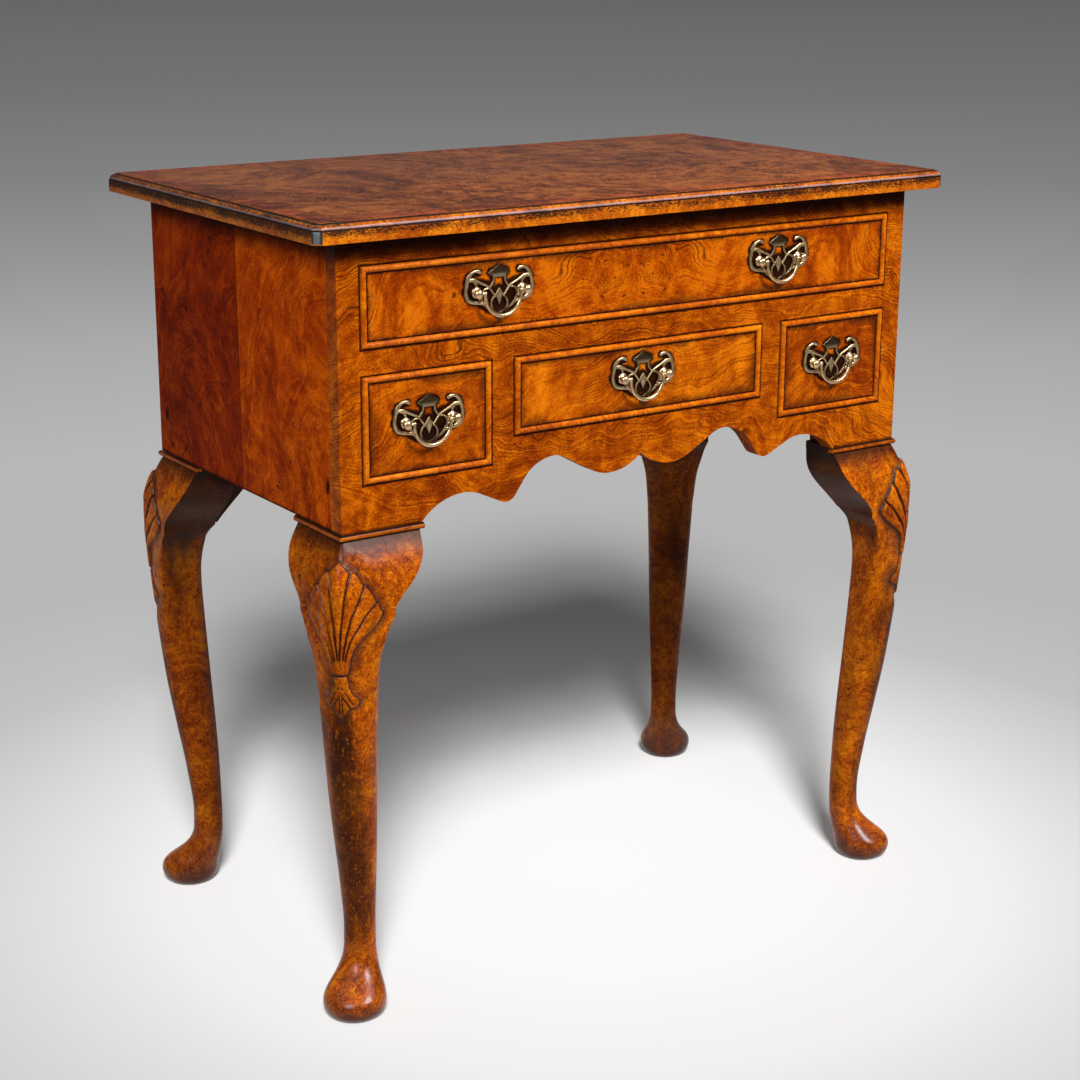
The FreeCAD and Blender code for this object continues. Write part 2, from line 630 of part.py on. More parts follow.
def posts():
    # revolved about its own axis: shank, rosette, neck and ball, with a blind hole for the bail
    solids = []
    for side in (-1, 1):
        x = side * post_spacing / 2
        start = front_y + drawer_front_thickness + nut_thickness + shank_past_nut
        face = front_y - plate_thickness
        shank = rod(post_shank_radius, V(x, start, post_rise), V(x, face, post_rise))
        rosette = Part.makeCone(rosette_radius, post_neck_radius, rosette_thickness,
                                V(x, face, post_rise), V(0, -1, 0))
        neck = rod(post_neck_radius, V(x, face, post_rise), V(x, pivot_y, post_rise))
        ball = Part.makeSphere(post_ball_radius, V(x, pivot_y, post_rise), V(0, 1, 0))
        hole = rod(pintle_radius + pintle_clearance, V(x, pivot_y, post_rise),
                   V(x - side * 2 * post_ball_radius, pivot_y, post_rise))
        solids.append(shank.fuse([rosette, neck, ball]).cut(hole).removeSplitter())
        inside = front_y + drawer_front_thickness
        nut = block(x - nut_width / 2, x + nut_width / 2, inside, inside + nut_thickness,
                    post_rise - nut_width / 2, post_rise + nut_width / 2)
        bore = rod(post_shank_radius, V(x, inside - cut_past, post_rise),
                   V(x, inside + nut_thickness + cut_past, post_rise))
        solids.append(nut.cut(bore))
    return group(solids)


def bail():
    # a half circle on two short upright arms, with pintles that turn in the posts
    a = bail_half_width
    low = post_rise - bail_straight

    def at(x, z):
        return V(x, pivot_y, z)
    path = Part.Wire([Part.LineSegment(at(-a, post_rise), at(-a, low)).toShape(),
                      Part.Arc(at(-a, low), at(0, low - a), at(a, low)).toShape(),
                      Part.LineSegment(at(a, low), at(a, post_rise)).toShape()])
    section = Part.Wire(Part.makeCircle(bail_radius, at(-a, post_rise), V(0, 0, 1)))
    bow = path.makePipeShell([section], True, True)
    fittings = []
    for side in (-1, 1):
        fittings.append(Part.makeSphere(knuckle_radius, at(side * a, post_rise)))
        pintle_end = side * (post_spacing / 2 - pintle_clearance)
        fittings.append(rod(pintle_radius, at(side * a, post_rise), at(pintle_end, post_rise)))
    return bow.fuse(fittings).removeSplitter()


def handle_pieces(places):
    backplate, fixings, ring = plate(), posts(), bail()
    for name, (x, z) in places.items():
        for kind, shape in (("plate", backplate), ("posts", fixings), ("bail", ring)):
            placed = shape.copy()
            placed.translate(V(x, 0, z))
            save("handle_" + kind + "_" + name, placed)


# ---------------------------------------------------------------- build
long_z = (long_top + long_bottom) / 2
small_z = (lower_top + small_bottom) / 2
middle_z = (lower_top + middle_bottom) / 2
small_x = (hole_edge + small_inner) / 2
handle_places = {
    "long_left": (-long_handle_x, long_z), "long_right": (long_handle_x, long_z),
    "small_left": (-small_x, small_z), "small_right": (small_x, small_z), "middle": (0.0, middle_z),
}
drawer_holes = {
    "long": (-hole_edge, hole_edge, long_bottom, long_top, ("long_left", "long_right")),
    "small_left": (-hole_edge, -small_inner, small_bottom, lower_top, ("small_left",)),
    "middle": (-middle_half, middle_half, middle_bottom, lower_top, ("middle",)),
    "small_right": (small_inner, hole_edge, small_bottom, lower_top, ("small_right",)),
}
case_pieces()
save("drawer_runners", runners())
save("kicker_strips", kickers())
save("glue_blocks", glue_blocks())
save("top_screws", group([screw(x, y) for x, y in screw_places()]))
leg_pieces()
for drawer_name, (hx0, hx1, hz0, hz1, on_it) in drawer_holes.items():
    post_places = [(handle_places[n][0], handle_places[n][1] + post_rise) for n in on_it]
    drawer(drawer_name, hx0, hx1, hz0, hz1, post_places)
handle_pieces(handle_places)
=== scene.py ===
import bpy
import numpy as np
from functools import partial, reduce
from math import radians
from mathutils import Matrix, Vector


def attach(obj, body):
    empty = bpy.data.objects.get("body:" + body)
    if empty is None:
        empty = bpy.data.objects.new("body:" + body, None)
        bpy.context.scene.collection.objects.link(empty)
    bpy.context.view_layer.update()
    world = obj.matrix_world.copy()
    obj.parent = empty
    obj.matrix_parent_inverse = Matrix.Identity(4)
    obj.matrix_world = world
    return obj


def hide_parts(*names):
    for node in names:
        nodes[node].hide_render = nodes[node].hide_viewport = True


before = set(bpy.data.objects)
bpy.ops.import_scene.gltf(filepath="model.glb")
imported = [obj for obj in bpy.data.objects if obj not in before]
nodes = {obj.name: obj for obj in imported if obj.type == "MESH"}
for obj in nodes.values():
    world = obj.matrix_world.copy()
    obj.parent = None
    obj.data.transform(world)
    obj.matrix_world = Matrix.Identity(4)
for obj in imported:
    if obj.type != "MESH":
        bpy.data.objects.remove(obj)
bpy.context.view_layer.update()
scene = bpy.context.scene
scene.view_settings.view_transform = "Standard"
print("frame loaded:", len(nodes), "pieces")

mm = 0.001
caseHalf, frontY, backY = 332.2, -191.0, 183.3     # faces of the case, in mm
middleY = (frontY + backY) / 2
caseTop, topZ = 742.0, 760.0


# meshes from arrays
def makePiece(name, points, faces, materials, node=None, body=None, faceMaterial=None, sharp=30):
    # points in mm; faces is an array of quads or a list of loops
    mesh = bpy.data.meshes.new(name)
    mesh.from_pydata((np.asarray(points, float).reshape(-1, 3) * mm).tolist(), [],
                     faces.tolist() if hasattr(faces, "tolist") else faces)
    for material in materials:
        mesh.materials.append(material)
    if faceMaterial is not None:
        mesh.polygons.foreach_set("material_index", np.asarray(faceMaterial, np.int32))
    mesh.polygons.foreach_set("use_smooth", np.ones(len(mesh.polygons), bool))
    mesh.set_sharp_from_angle(angle=radians(sharp))
    mesh.update()
    piece = bpy.data.objects.new(name, mesh)
    scene.collection.objects.link(piece)
    if body:
        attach(piece, body)
    if node:
        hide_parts(*([node] if isinstance(node, str) else node))
    return piece


def gridFaces(rows, columns, start=0, around=True, flip=False):
    # quads between row i and i + 1, column j and j + 1, the last column joined to the first if around
    i, j = np.meshgrid(np.arange(rows - 1), np.arange(columns if around else columns - 1), indexing="ij")
    nextJ = (j + 1) % columns
    quads = np.stack([i * columns + j, i * columns + nextJ, (i + 1) * columns + nextJ, (i + 1) * columns + j], -1)
    quads = quads.reshape(-1, 4) + start
    return quads[:, ::-1] if flip else quads


def smoothstep(low, high, value):
    # 3t^2 - 2t^3 of the share t of the way from low to high
    t = np.clip((value - low) / (high - low), 0, 1)
    return t * t * (3 - 2 * t)


def eased(table, x):
    # smooth curve through a table of (x, value) without overshoot: cubic with harmonic mean slopes
    xs, ys = np.array(table, float).T
    step = np.diff(ys) / np.diff(xs)
    same = step[:-1] * step[1:] > 0
    inner = np.where(same, 2 * step[:-1] * step[1:] / np.where(same, step[:-1] + step[1:], 1), 0)
    slope = np.concatenate([step[:1], inner, step[-1:]])
    k = np.clip(np.searchsorted(xs, x, side="right") - 1, 0, len(xs) - 2)
    span = xs[k + 1] - xs[k]
    t = np.clip((x - xs[k]) / span, 0, 1)
    value = ys[k] * (1 + 2 * t) * (1 - t) ** 2 + ys[k + 1] * t * t * (3 - 2 * t)
    return value + span * (slope[k] * t * (1 - t) ** 2 + slope[k + 1] * t * t * (t - 1))


# shader building blocks
def addNode(tree, kind, sockets=None, **settings):
    made = tree.nodes.new("ShaderNode" + kind)
    for name, value in settings.items():
        setattr(made, name, value)
    for name, value in (sockets or {}).items():
        if isinstance(value, bpy.types.NodeSocket):
            tree.links.new(value, made.inputs[name])
        else:
            made.inputs[name].default_value = value
    return made


def treeOf(values):
    # the node tree of the first socket among the values
    return next(value.id_data for value in values if isinstance(value, bpy.types.NodeSocket))


def maths(operation, *values):
    return addNode(treeOf(values), "Math", dict(enumerate(values)), operation=operation).outputs[0]


def times(*values):
    return reduce(partial(maths, "MULTIPLY"), values)


def plus(*values):
    return reduce(partial(maths, "ADD"), values)


def minus(first, second):
    return maths("SUBTRACT", first, second)


def swing(noise, reach):
    # noise from 0 to 1 turned into a change either way about nothing
    return times(minus(noise, 0.5), reach)


def vectorMaths(operation, *values):
    return addNode(treeOf(values), "VectorMath", dict(enumerate(values)), operation=operation).outputs[0]


def scaled(vector, share):
    return addNode(treeOf((vector, share)), "VectorMath", {0: vector, "Scale": share}, operation="SCALE").outputs[0]


def eachWay(vector):
    return addNode(vector.id_data, "SeparateXYZ", {0: vector}).outputs


def stepped(value, low, high, start=0.0, end=1.0):
    # smooth change from start to end while value goes from low to high
    sockets = {0: value, 1: low, 2: high, 3: start, 4: end}
    return addNode(treeOf([value, low, high]), "MapRange", sockets, interpolation_type="SMOOTHSTEP").outputs[0]


def blended(share, first, second, kind="MIX"):
    tree = treeOf((share, first, second))
    made = addNode(tree, "Mix", data_type="RGBA", blend_type=kind)
    for index, value in ((0, share), (6, first), (7, second)):
        if isinstance(value, bpy.types.NodeSocket):
            tree.links.new(value, made.inputs[index])
        else:
            made.inputs[index].default_value = (*value, 1) if index else value
    return made.outputs[2]


def toned(value, stops):
    made = addNode(value.id_data, "ValToRGB", {0: value})
    ramp = made.color_ramp
    for index, (place, colour) in enumerate(stops):
        stop = ramp.elements[index] if index < 2 else ramp.elements.new(place)
        stop.position, stop.color = place, (*colour, 1)
    return made.outputs[0]


def cloud(place, size, seed, detail=2.0, rough=0.5, output=0):
    sockets = {"Vector": place, "W": seed, "Scale": size, "Detail": detail, "Roughness": rough}
    return addNode(place.id_data, "TexNoise", sockets, noise_dimensions="4D").outputs[output]


def bentBy(place, size, seed, share, detail=2.0, rough=0.5):
    # how far a cloud of noise moves each place
    noise = cloud(place, size, seed, detail, rough, "Color")
    return scaled(vectorMaths("SUBTRACT", noise, (0.5, 0.5, 0.5)), share)


def painted(tree, title):
    # value of a piece's own attribute
    return addNode(tree, "Attribute", attribute_name=title).outputs["Fac"]


def newGroup(name, inputs, outputs):
    group = bpy.data.node_groups.new(name, "ShaderNodeTree")
    for title, kind, start in inputs:
        socket = group.interface.new_socket(title, in_out="INPUT", socket_type="NodeSocket" + kind)
        if start is not None:
            socket.default_value = start
    for title, kind in outputs:
        group.interface.new_socket(title, in_out="OUTPUT", socket_type="NodeSocket" + kind)
    return group, group.nodes.new("NodeGroupInput").outputs, group.nodes.new("NodeGroupOutput").inputs


def useGroup(tree, group, **sockets):
    made = addNode(tree, "Group", node_tree=group)
    for name, value in sockets.items():
        if isinstance(value, bpy.types.NodeSocket):
            tree.links.new(value, made.inputs[name])
        else:
            made.inputs[name].default_value = value
    return made.outputs


def buildFigure():
    # growth lines: line number = (place + bend) . direction x count + crowding, where bend and crowding are smooth
    # noise; the dark part is the end of each step of its fraction, each line with a strength of its own
    t, given, result = newGroup("woodFigure", [("Place", "Vector", None), ("Size", "Float", 7.0),
                                               ("Sway", "Float", 0.09), ("Count", "Float", 280.0),
                                               ("Direction", "Vector", (0.3, 0.3, 1.0)), ("Seed", "Float", 0.0),
                                               ("Plain", "Float", 0.45), ("Swell", "Float", 0.0)],
                                [("Tone", "Float"), ("Lines", "Float"), ("Flame", "Float"), ("Mottle", "Float"),
                                 ("Fibre", "Float")])
    moved = bentBy(given["Place"], given["Size"], given["Seed"], given["Sway"], 1.5, 0.4)
    place = vectorMaths("ADD", given["Place"], moved)
    number = addNode(t, "VectorMath", {0: place, 1: given["Direction"]}, operation="DOT_PRODUCT").outputs["Value"]
    fine = cloud(given["Place"], 150.0, given["Seed"], 3.0, 0.6)
    crowd = cloud(given["Place"], times(given["Size"], 2.4), plus(given["Seed"], 3.3), 2.0, 0.5)
    number = plus(times(number, given["Count"]), times(fine, 1.1), times(crowd, 15.0), times(given["Swell"], 6.0))
    ring = maths("FRACT", number)
    dark = times(stepped(ring, 0.5, 0.9), stepped(ring, 0.92, 1.0, 1.0, 0.0))
    own = addNode(t, "TexWhiteNoise", {"W": maths("FLOOR", number)}, noise_dimensions="1D").outputs["Value"]
    dark = times(dark, stepped(own, 0.1, 0.95, 0.2, 1.0))
    patch = cloud(given["Place"], times(given["Size"], 1.6), plus(given["Seed"], 9.1), 2.0, 0.5)
    patch = plus(patch, times(given["Swell"], 0.12))
    shown = stepped(patch, given["Plain"], plus(given["Plain"], 0.16), 0.08, 1.0)
    broken = stepped(cloud(place, 240.0, 2.0, 2.0, 0.6), 0.34, 0.52, 0.5, 1.0)
    t.links.new(times(dark, shown, broken), result["Lines"])
    bands = addNode(t, "TexNoise", {"W": times(number, 0.35), "Scale": 1.0, "Detail": 5.0, "Roughness": 0.7},
                    noise_dimensions="1D").outputs[0]
    fibre = addNode(t, "TexNoise", {"W": times(number, 1.4), "Scale": 1.0, "Detail": 3.0, "Roughness": 0.7},
                    noise_dimensions="1D").outputs[0]
    patchy = stepped(cloud(given["Place"], 85.0, given["Seed"], 3.0, 0.6), 0.38, 0.62, 0.15, 1.0)
    t.links.new(swing(fibre, patchy), result["Fibre"])
    broad = cloud(place, times(given["Size"], 1.1), plus(given["Seed"], 5.3), 3.0, 0.55)
    broad = plus(times(broad, 0.66), times(bands, 0.34))
    t.links.new(stepped(broad, 0.34, 0.66), result["Tone"])
    upright = vectorMaths("MULTIPLY", given["Place"], (1.0, 1.0, 0.22))
    flame = cloud(vectorMaths("ADD", upright, moved), 34.0, plus(given["Seed"], 2.6), 3.0, 0.5)
    t.links.new(stepped(flame, 0.34, 0.66), result["Flame"])
    mottle = cloud(place, times(given["Size"], 9.0), plus(given["Seed"], 1.9), 5.0, 0.68)
    t.links.new(stepped(mottle, 0.34, 0.66), result["Mottle"])
    return t


def buildBurr():
    # knots: distance to scattered points gives a dark eye and rings round it, kept to a few clusters and to the
    # neighbourhood of one chosen spot
    t, given, result = newGroup("burrEyes", [("Place", "Vector", None), ("Size", "Float", 70.0),
                                             ("Seed", "Float", 0.0), ("Cover", "Float", 0.55),
                                             ("Spot", "Vector", (9.0, 9.0, 9.0)), ("Spread", "Float", 0.03)],
                                [("Eye", "Float"), ("Swirl", "Float")])
    place = vectorMaths("ADD", given["Place"], bentBy(given["Place"], 60.0, given["Seed"], 0.012))
    cell = addNode(t, "TexVoronoi", {"Vector": place, "W": given["Seed"], "Scale": given["Size"]},
                   voronoi_dimensions="4D").outputs["Distance"]
    patch = cloud(given["Place"], 11.0, plus(given["Seed"], 4.4), 2.0)
    cluster = stepped(patch, given["Cover"], plus(given["Cover"], 0.1))
    away = addNode(t, "VectorMath", {0: place, 1: given["Spot"]}, operation="DISTANCE").outputs["Value"]
    near = stepped(away, times(given["Spread"], 0.7), times(given["Spread"], 1.4), 1.0, 0.0)
    cluster = maths("MAXIMUM", cluster, near)
    t.links.new(times(stepped(cell, 0.12, 0.3, 1.0, 0.0), cluster), result["Eye"])
    wave = maths("SINE", times(cell, 40.0))
    t.links.new(times(stepped(wave, -0.6, 1.0), cluster), result["Swirl"])
    return t


def buildPores():
    # short dark flecks, the grain of the wood at its finest, and the slight unevenness of an old polished surface
    t, given, result = newGroup("poresAndPolish", [("Place", "Vector", None), ("Seed", "Float", 0.0)],
                                [("Flecks", "Float"), ("Grain", "Float"), ("Uneven", "Float")])
    fleck = cloud(given["Place"], 420.0, given["Seed"], 2.0, 0.6)
    many = cloud(given["Place"], 24.0, given["Seed"], 2.0)
    t.links.new(times(stepped(fleck, 0.58, 0.7), stepped(many, 0.4, 0.62)), result["Flecks"])
    t.links.new(cloud(given["Place"], 560.0, plus(given["Seed"], 6.0), 2.0, 0.7), result["Grain"])
    t.links.new(cloud(given["Place"], 38.0, given["Seed"], 3.0), result["Uneven"])
    return t


def buildEdgeShade():
    # painted shade along the edges of a panel: 1 at its edge, 0 at the given reach inwards; with a thin painted
    # rim of shade just inside the edge and a painted shadow just outside it
    t, given, result = newGroup("edgeShade", [("Place", "Vector", None), ("Middle", "Vector", None),
                                              ("Half", "Vector", None), ("Reach", "Float", 0.006)],
                                [("InnerShade", "Float"), ("RimShade", "Float"), ("GapShadow", "Float")])
    away = vectorMaths("ABSOLUTE", vectorMaths("SUBTRACT", given["Place"], given["Middle"]))
    left = eachWay(vectorMaths("SUBTRACT", given["Half"], away))
    inwards = maths("MINIMUM", left["X"], left["Z"])
    rough = cloud(given["Place"], 260.0, 1.0, 4.0, 0.7)
    broad = cloud(given["Place"], 18.0, 2.0, 2.0, 0.5)
    reach = times(given["Reach"], stepped(broad, 0.34, 0.66, 0.3, 1.6))
    near = plus(inwards, swing(rough, 0.009))
    t.links.new(stepped(maths("DIVIDE", near, reach), 0.0, 1.0, 1.0, 0.0), result["InnerShade"])
    edge = plus(inwards, swing(rough, 0.0016))
    t.links.new(stepped(edge, 0.0005, 0.0024, 1.0, 0.0), result["RimShade"])
    t.links.new(stepped(edge, -0.0017, -0.0005), result["GapShadow"])
    return t


def buildHandleShade():
    # painted shade behind and round a handle's plate, in its piercings and below its edges: distance to a few
    # rounded bars, mirrored about the handle's middle, each (start, end, half width) in mm
    t, given, result = newGroup("handleShade", [("Place", "Vector", None), ("Middle", "Vector", None)],
                                [("PlateShade", "Float")])
    x, _, z = eachWay(vectorMaths("SUBTRACT", given["Place"], given["Middle"]))
    place = addNode(t, "CombineXYZ", {0: maths("ABSOLUTE", x), 1: 0.0, 2: z}).outputs[0]
    nearest = None
    for (ax, az), (bx, bz), half in (((33.0, 13.0), (10.0, 6.5), 6.0), ((34.0, 4.0), (25.0, -4.0), 6.2),
                                     ((22.0, 2.0), (8.0, -8.0), 11.0), ((0.0, -7.0), (0.0, -6.0), 15.0),
                                     ((32.0, 18.0), (22.0, 20.6), 4.4), ((8.0, 19.6), (0.0, 22.4), 5.2),
                                     ((6.6, 17.0), (6.4, 9.0), 3.4)):
        away = vectorMaths("SUBTRACT", place, (ax * mm, 0.0, az * mm))
        run = np.array([bx - ax, 0.0, bz - az]) * mm
        share = addNode(t, "VectorMath", {0: away, 1: tuple(run / (run @ run))}, operation="DOT_PRODUCT")
        share = addNode(t, "Clamp", {0: share.outputs["Value"]}).outputs[0]
        foot = scaled(tuple(run), share)
        gap = addNode(t, "VectorMath", {0: away, 1: foot}, operation="DISTANCE").outputs["Value"]
        gap = minus(gap, half * mm)
        nearest = gap if nearest is None else maths("MINIMUM", nearest, gap)
    nearest = plus(nearest, swing(cloud(given["Place"], 300.0, 4.0, 3.0, 0.6), 0.004))
    t.links.new(stepped(nearest, -0.0016, 0.0014, 1.0, 0.0), result["PlateShade"])
    return t


def buildWhorls():
    # whorls round a few centres (across the join, up, radius in metres): exp(-(distance / radius)^2), bent by noise,
    # which swells the growth lines into rings, and a small dark eye in the middle of each
    t, given, result = newGroup("whorls", [("Place", "Vector", None), ("Seed", "Float", 0.0)],
                                [("Swell", "Float"), ("Eye", "Float")])
    place = vectorMaths("ADD", given["Place"], bentBy(given["Place"], 70.0, given["Seed"], 0.016, 3.0, 0.6))
    swell, eye = 0.0, 0.0
    for across, up, radius in ((0.018, 0.677, 0.036), (0.021, 0.683, 0.012), (0.032, 0.698, 0.009),
                               (0.009, 0.694, 0.010), (0.037, 0.667, 0.012), (0.012, 0.665, 0.009)):
        away = vectorMaths("MULTIPLY", vectorMaths("SUBTRACT", place, (across, 0.0, up)), (1.0, 0.0, 1.15))
        gap = addNode(t, "VectorMath", {0: away}, operation="LENGTH").outputs["Value"]
        share = maths("DIVIDE", gap, radius)
        one = maths("EXPONENT", times(share, share, -1.0))
        swell = plus(swell, times(one, radius / 0.018))
        eye = maths("MAXIMUM", eye, stepped(gap, 0.0006, 0.0038 - radius * 0.08, 1.0, 0.0))
    t.links.new(swell, result["Swell"])
    t.links.new(eye, result["Eye"])
    return t


figure, burr, pores, edgeShade = buildFigure(), buildBurr(), buildPores(), buildEdgeShade()
handleShade, whorls = buildHandleShade(), buildWhorls()
print("shared shader groups made")


def newMaterial(name, **fixed):
    material = bpy.data.materials.new(name)
    material.use_nodes = True
    tree = material.node_tree
    tree.nodes.clear()
    shader = addNode(tree, "BsdfPrincipled", fixed)
    addNode(tree, "OutputMaterial", {"Surface": shader.outputs[0]})
    return material, tree, shader, addNode(tree, "TexCoord").outputs["Object"]


def finish(tree, shader, colour, rough, height, strength, distance):
    # colour, roughness and bump of a material, the bump's distance in metres
    lump = addNode(tree, "Bump", {"Strength": strength, "Distance": distance, "Height": height})
    for socket, value in (("Base Color", colour), ("Roughness", rough), ("Normal", lump.outputs[0])):
        tree.links.new(value, shader.inputs[socket])


walnut = dict(deep=(0.20, 0.022, 0.0005), mid=(0.435, 0.068, 0.0006), light=(0.80, 0.19, 0.002),
              lineColour=(0.050, 0.008, 0.0006), lineDepth=0.82, size=7.0, sway=0.10, count=270.0,
              direction=(0.25, 0.3, 1.0), plain=0.46, seed=0.0, burrSize=75.0, cover=0.58, spot=(9.0, 9.0, 9.0),
              spread=0.03, eyeDepth=0.8, swirl=0.25, flecks=0.7, grain=1.15, shares=(0.36, 0.24, 0.42, 0.9),
              shine=0.03, rough=0.36, coat=0.03, coatRough=0.14, bump=0.12)
leafShift = (0.37, 0.23, 0.41)      # jump of the figure from one leaf of veneer to the next


def veneer(name, extra=None, **changes):
    look = {**walnut, **changes}
    material, tree, shader, place = newMaterial(name, **{"Specular IOR Level": look["shine"],
                                                         "Coat Weight": look["coat"],
                                                         "Coat Roughness": look["coatRough"]})
    laid = place
    x, y, z = eachWay(place)
    if "book" in look:       # book-matched leaves: the figure is mirrored about a line
        laid = addNode(tree, "CombineXYZ", {0: maths("ABSOLUTE", minus(x, look["book"])), 1: y, 2: z}).outputs[0]
    if "join" in look:       # two leaves that meet at a distance from front to back
        behind = maths("GREATER_THAN", y, look["join"])
        laid = vectorMaths("ADD", place, scaled(leafShift, behind))
    curl = useGroup(tree, whorls, Place=laid, Seed=look["seed"]) if "whorls" in look else {"Swell": 0.0}
    grain = useGroup(tree, figure, Place=laid, Swell=curl["Swell"], Size=look["size"], Sway=look["sway"],
                     Count=look["count"], Direction=look["direction"], Seed=look["seed"], Plain=look["plain"])
    knots = useGroup(tree, burr, Place=laid, Size=look["burrSize"], Seed=look["seed"], Cover=look["cover"],
                     Spot=look["spot"], Spread=look["spread"])
    fine = useGroup(tree, pores, Place=place, Seed=look["seed"])
    tone = swing(fine["Grain"], look["grain"])
    for part, share in zip(("Tone", "Flame", "Mottle", "Fibre"), look["shares"]):
        tone = plus(tone, times(grain[part], share))
    colour = toned(tone, [(0.1, look["deep"]), (0.48, look["mid"]), (0.9, look["light"])])
    colour = blended(times(grain["Lines"], look["lineDepth"]), colour, look["lineColour"])
    swirl = times(knots["Swirl"], look["swirl"])
    colour = blended(swirl, colour, look["lineColour"])
    colour = blended(times(knots["Eye"], look["eyeDepth"]), colour, tuple(c * 0.3 for c in look["lineColour"]))
    colour = blended(times(fine["Flecks"], look["flecks"]), colour, look["lineColour"])
    if "whorls" in look:
        colour = blended(times(curl["Eye"], 0.85), colour, (0.05, 0.007, 0.0005))
    if "join" in look:
        colour = blended(behind, colour, look["behind"], "MULTIPLY")
    if extra:
        colour = extra(tree, place, colour)
    gloss = plus(times(fine["Uneven"], 0.16), look["rough"] - 0.08, times(grain["Lines"], 0.08))
    if "footCoat" in look:   # feet rubbed to a gloss, and glossy wax in the carving
        coat = stepped(z, 0.035, 0.08, look["footCoat"], look["coat"])
        wax = times(painted(tree, "carvingDark"), 0.5)
        tree.links.new(maths("MAXIMUM", coat, wax), shader.inputs["Coat Weight"])
    height = minus(fine["Uneven"], times(fine["Flecks"], 0.15))
    height = minus(height, times(grain["Lines"], 0.06))
    finish(tree, shader, colour, gloss, height, look["bump"], 0.002)
    return material


def band(value, middle, half):
    # 1 at the middle, 0 outside the half width, smooth between
    return stepped(maths("ABSOLUTE", minus(value, middle)), half * 0.4, half, 1.0, 0.0)


def drawerMarks(middle, half, handlesAt, reach=0.0085):
    # extra layer for a drawer front: painted shade inside the cock beads and behind and round the handles
    def layer(tree, place, colour):
        bare = colour
        for hx, hz in handlesAt:
            # painted shade behind and round each handle
            made = useGroup(tree, handleShade, Place=place, Middle=(hx * mm, 0.0, hz * mm))
            colour = blended(times(made["PlateShade"], 0.97), colour, (0.008, 0.003, 0.002))
        # painted shade along the inside of the cock beads, with a thin near-black rim of shade against them
        dirt = useGroup(tree, edgeShade, Place=place, Middle=(middle[0] * mm, 0, middle[1] * mm),
                        Half=(half[0] * mm, 1, half[1] * mm), Reach=reach)
        colour = blended(times(dirt["InnerShade"], 0.8), colour, (0.035, 0.007, 0.002))
        colour = blended(times(dirt["RimShade"], 0.95), colour, (0.004, 0.003, 0.003))
        # only the face has the veneer; the board behind it is plain
        behind = maths("GREATER_THAN", eachWay(place)["Y"], frontY * mm + 0.0012)
        return blended(behind, colour, blended(0.75, bare, (0.24, 0.115, 0.042)))
    return layer


def overhangShade(tree, place, colour):
    # painted shade under the top's overhang, as dark as its shadow, and painted shade in the crease above the knee
    # beads near the corners
    x, _, z = eachWay(place)
    ragged = times(cloud(place, 60.0, 3.0, 3.0, 0.6), 0.006)
    share = stepped(plus(z, ragged), 0.722, 0.737, 0.0, 0.93)
    # painted shade at the foot of the case's face beside the legs
    foot = times(stepped(z, 0.4785, 0.4815, 0.8, 0.0), maths("GREATER_THAN", maths("ABSOLUTE", x), 0.25))
    return blended(maths("MAXIMUM", share, foot), colour, (0.012, 0.003, 0.001))


def frontShadeMarks(tree, place, colour):
    # a painted shadow line round each drawer's opening, in the gap where the beads meet the frame
    for middle, half in drawerPlaces.values():
        made = useGroup(tree, edgeShade, Place=place, Middle=(middle[0] * mm, 0, middle[1] * mm),
                        Half=((half[0] + beadWidth) * mm, 1, (half[1] + beadWidth) * mm))
        # painted shadow in the gap outside each bead
        inside = times(made["GapShadow"], 0.9)
        colour = blended(inside, colour, (0.010, 0.004, 0.002))
    # painted shade under the top's overhang
    return overhangShade(tree, place, colour)


def sideMarks(tree, place, colour):
    # dark knots, each (across, up, half width, half height) in mm, round with ragged edges; and the join's line
    _, y, z = eachWay(place)
    ragged = cloud(place, 90.0, 3.0, 4.0, 0.6)
    for across, up, wide, tall in ((167.0, 520.0, 5.0, 9.0), (-168.0, 518.0, 4.5, 11.0)):
        dy = maths("DIVIDE", minus(y, across * mm), wide * mm)
        dz = maths("DIVIDE", minus(z, up * mm), tall * mm)
        away = plus(times(dy, dy), times(dz, dz), times(ragged, 1.6))
        colour = blended(stepped(away, 0.9, 1.9, 0.92, 0.0), colour, (0.01, 0.003, 0.001))
    colour = blended(times(band(y, 0.0, 0.0009), 0.55), colour, (0.03, 0.006, 0.001))
    # painted shade under the top's overhang
    return overhangShade(tree, place, colour)


beadWidth = 6.6            # with the gap to the opening
drawerPlaces = {           # middle of each front and half its size inside the beads, in mm
    "long": ((0.0, 680.3), (302.7, 30.7)), "middle": ((0.0, 582.2), (141.1, 30.8)),
    "small_left": ((-240.8, 570.05), (61.9, 42.95)), "small_right": ((240.8, 570.05), (61.9, 42.95)),
}
handlePlaces = {           # middles of the handles, in mm
    "long_left": (-165.0, 680.3), "long_right": (165.0, 680.3), "small_left": (-240.8, 570.05),
    "small_right": (240.8, 570.05), "middle": (0.0, 582.2),
}
drawerLooks = {
    "long": dict(seed=2.3, book=-0.012, cover=0.56, whorls=True, direction=(0.4, 0.3, 1.0),
                 sway=0.13, mid=(0.405, 0.055, 0.0004), light=(0.74, 0.165, 0.002)),
    "middle": dict(seed=6.1, size=6.0, plain=0.40, direction=(-0.2, 0.3, 1.0), mid=(0.52, 0.094, 0.001),
                   deep=(0.28, 0.036, 0.0006), light=(0.88, 0.23, 0.003)),
    "small_left": dict(seed=11.4, size=8.0, direction=(-0.3, 0.3, 1.0), mid=(0.46, 0.078, 0.001)),
    "small_right": dict(seed=15.2, size=8.0, direction=(-0.5, 0.3, 0.8), mid=(0.41, 0.064, 0.001)),
}
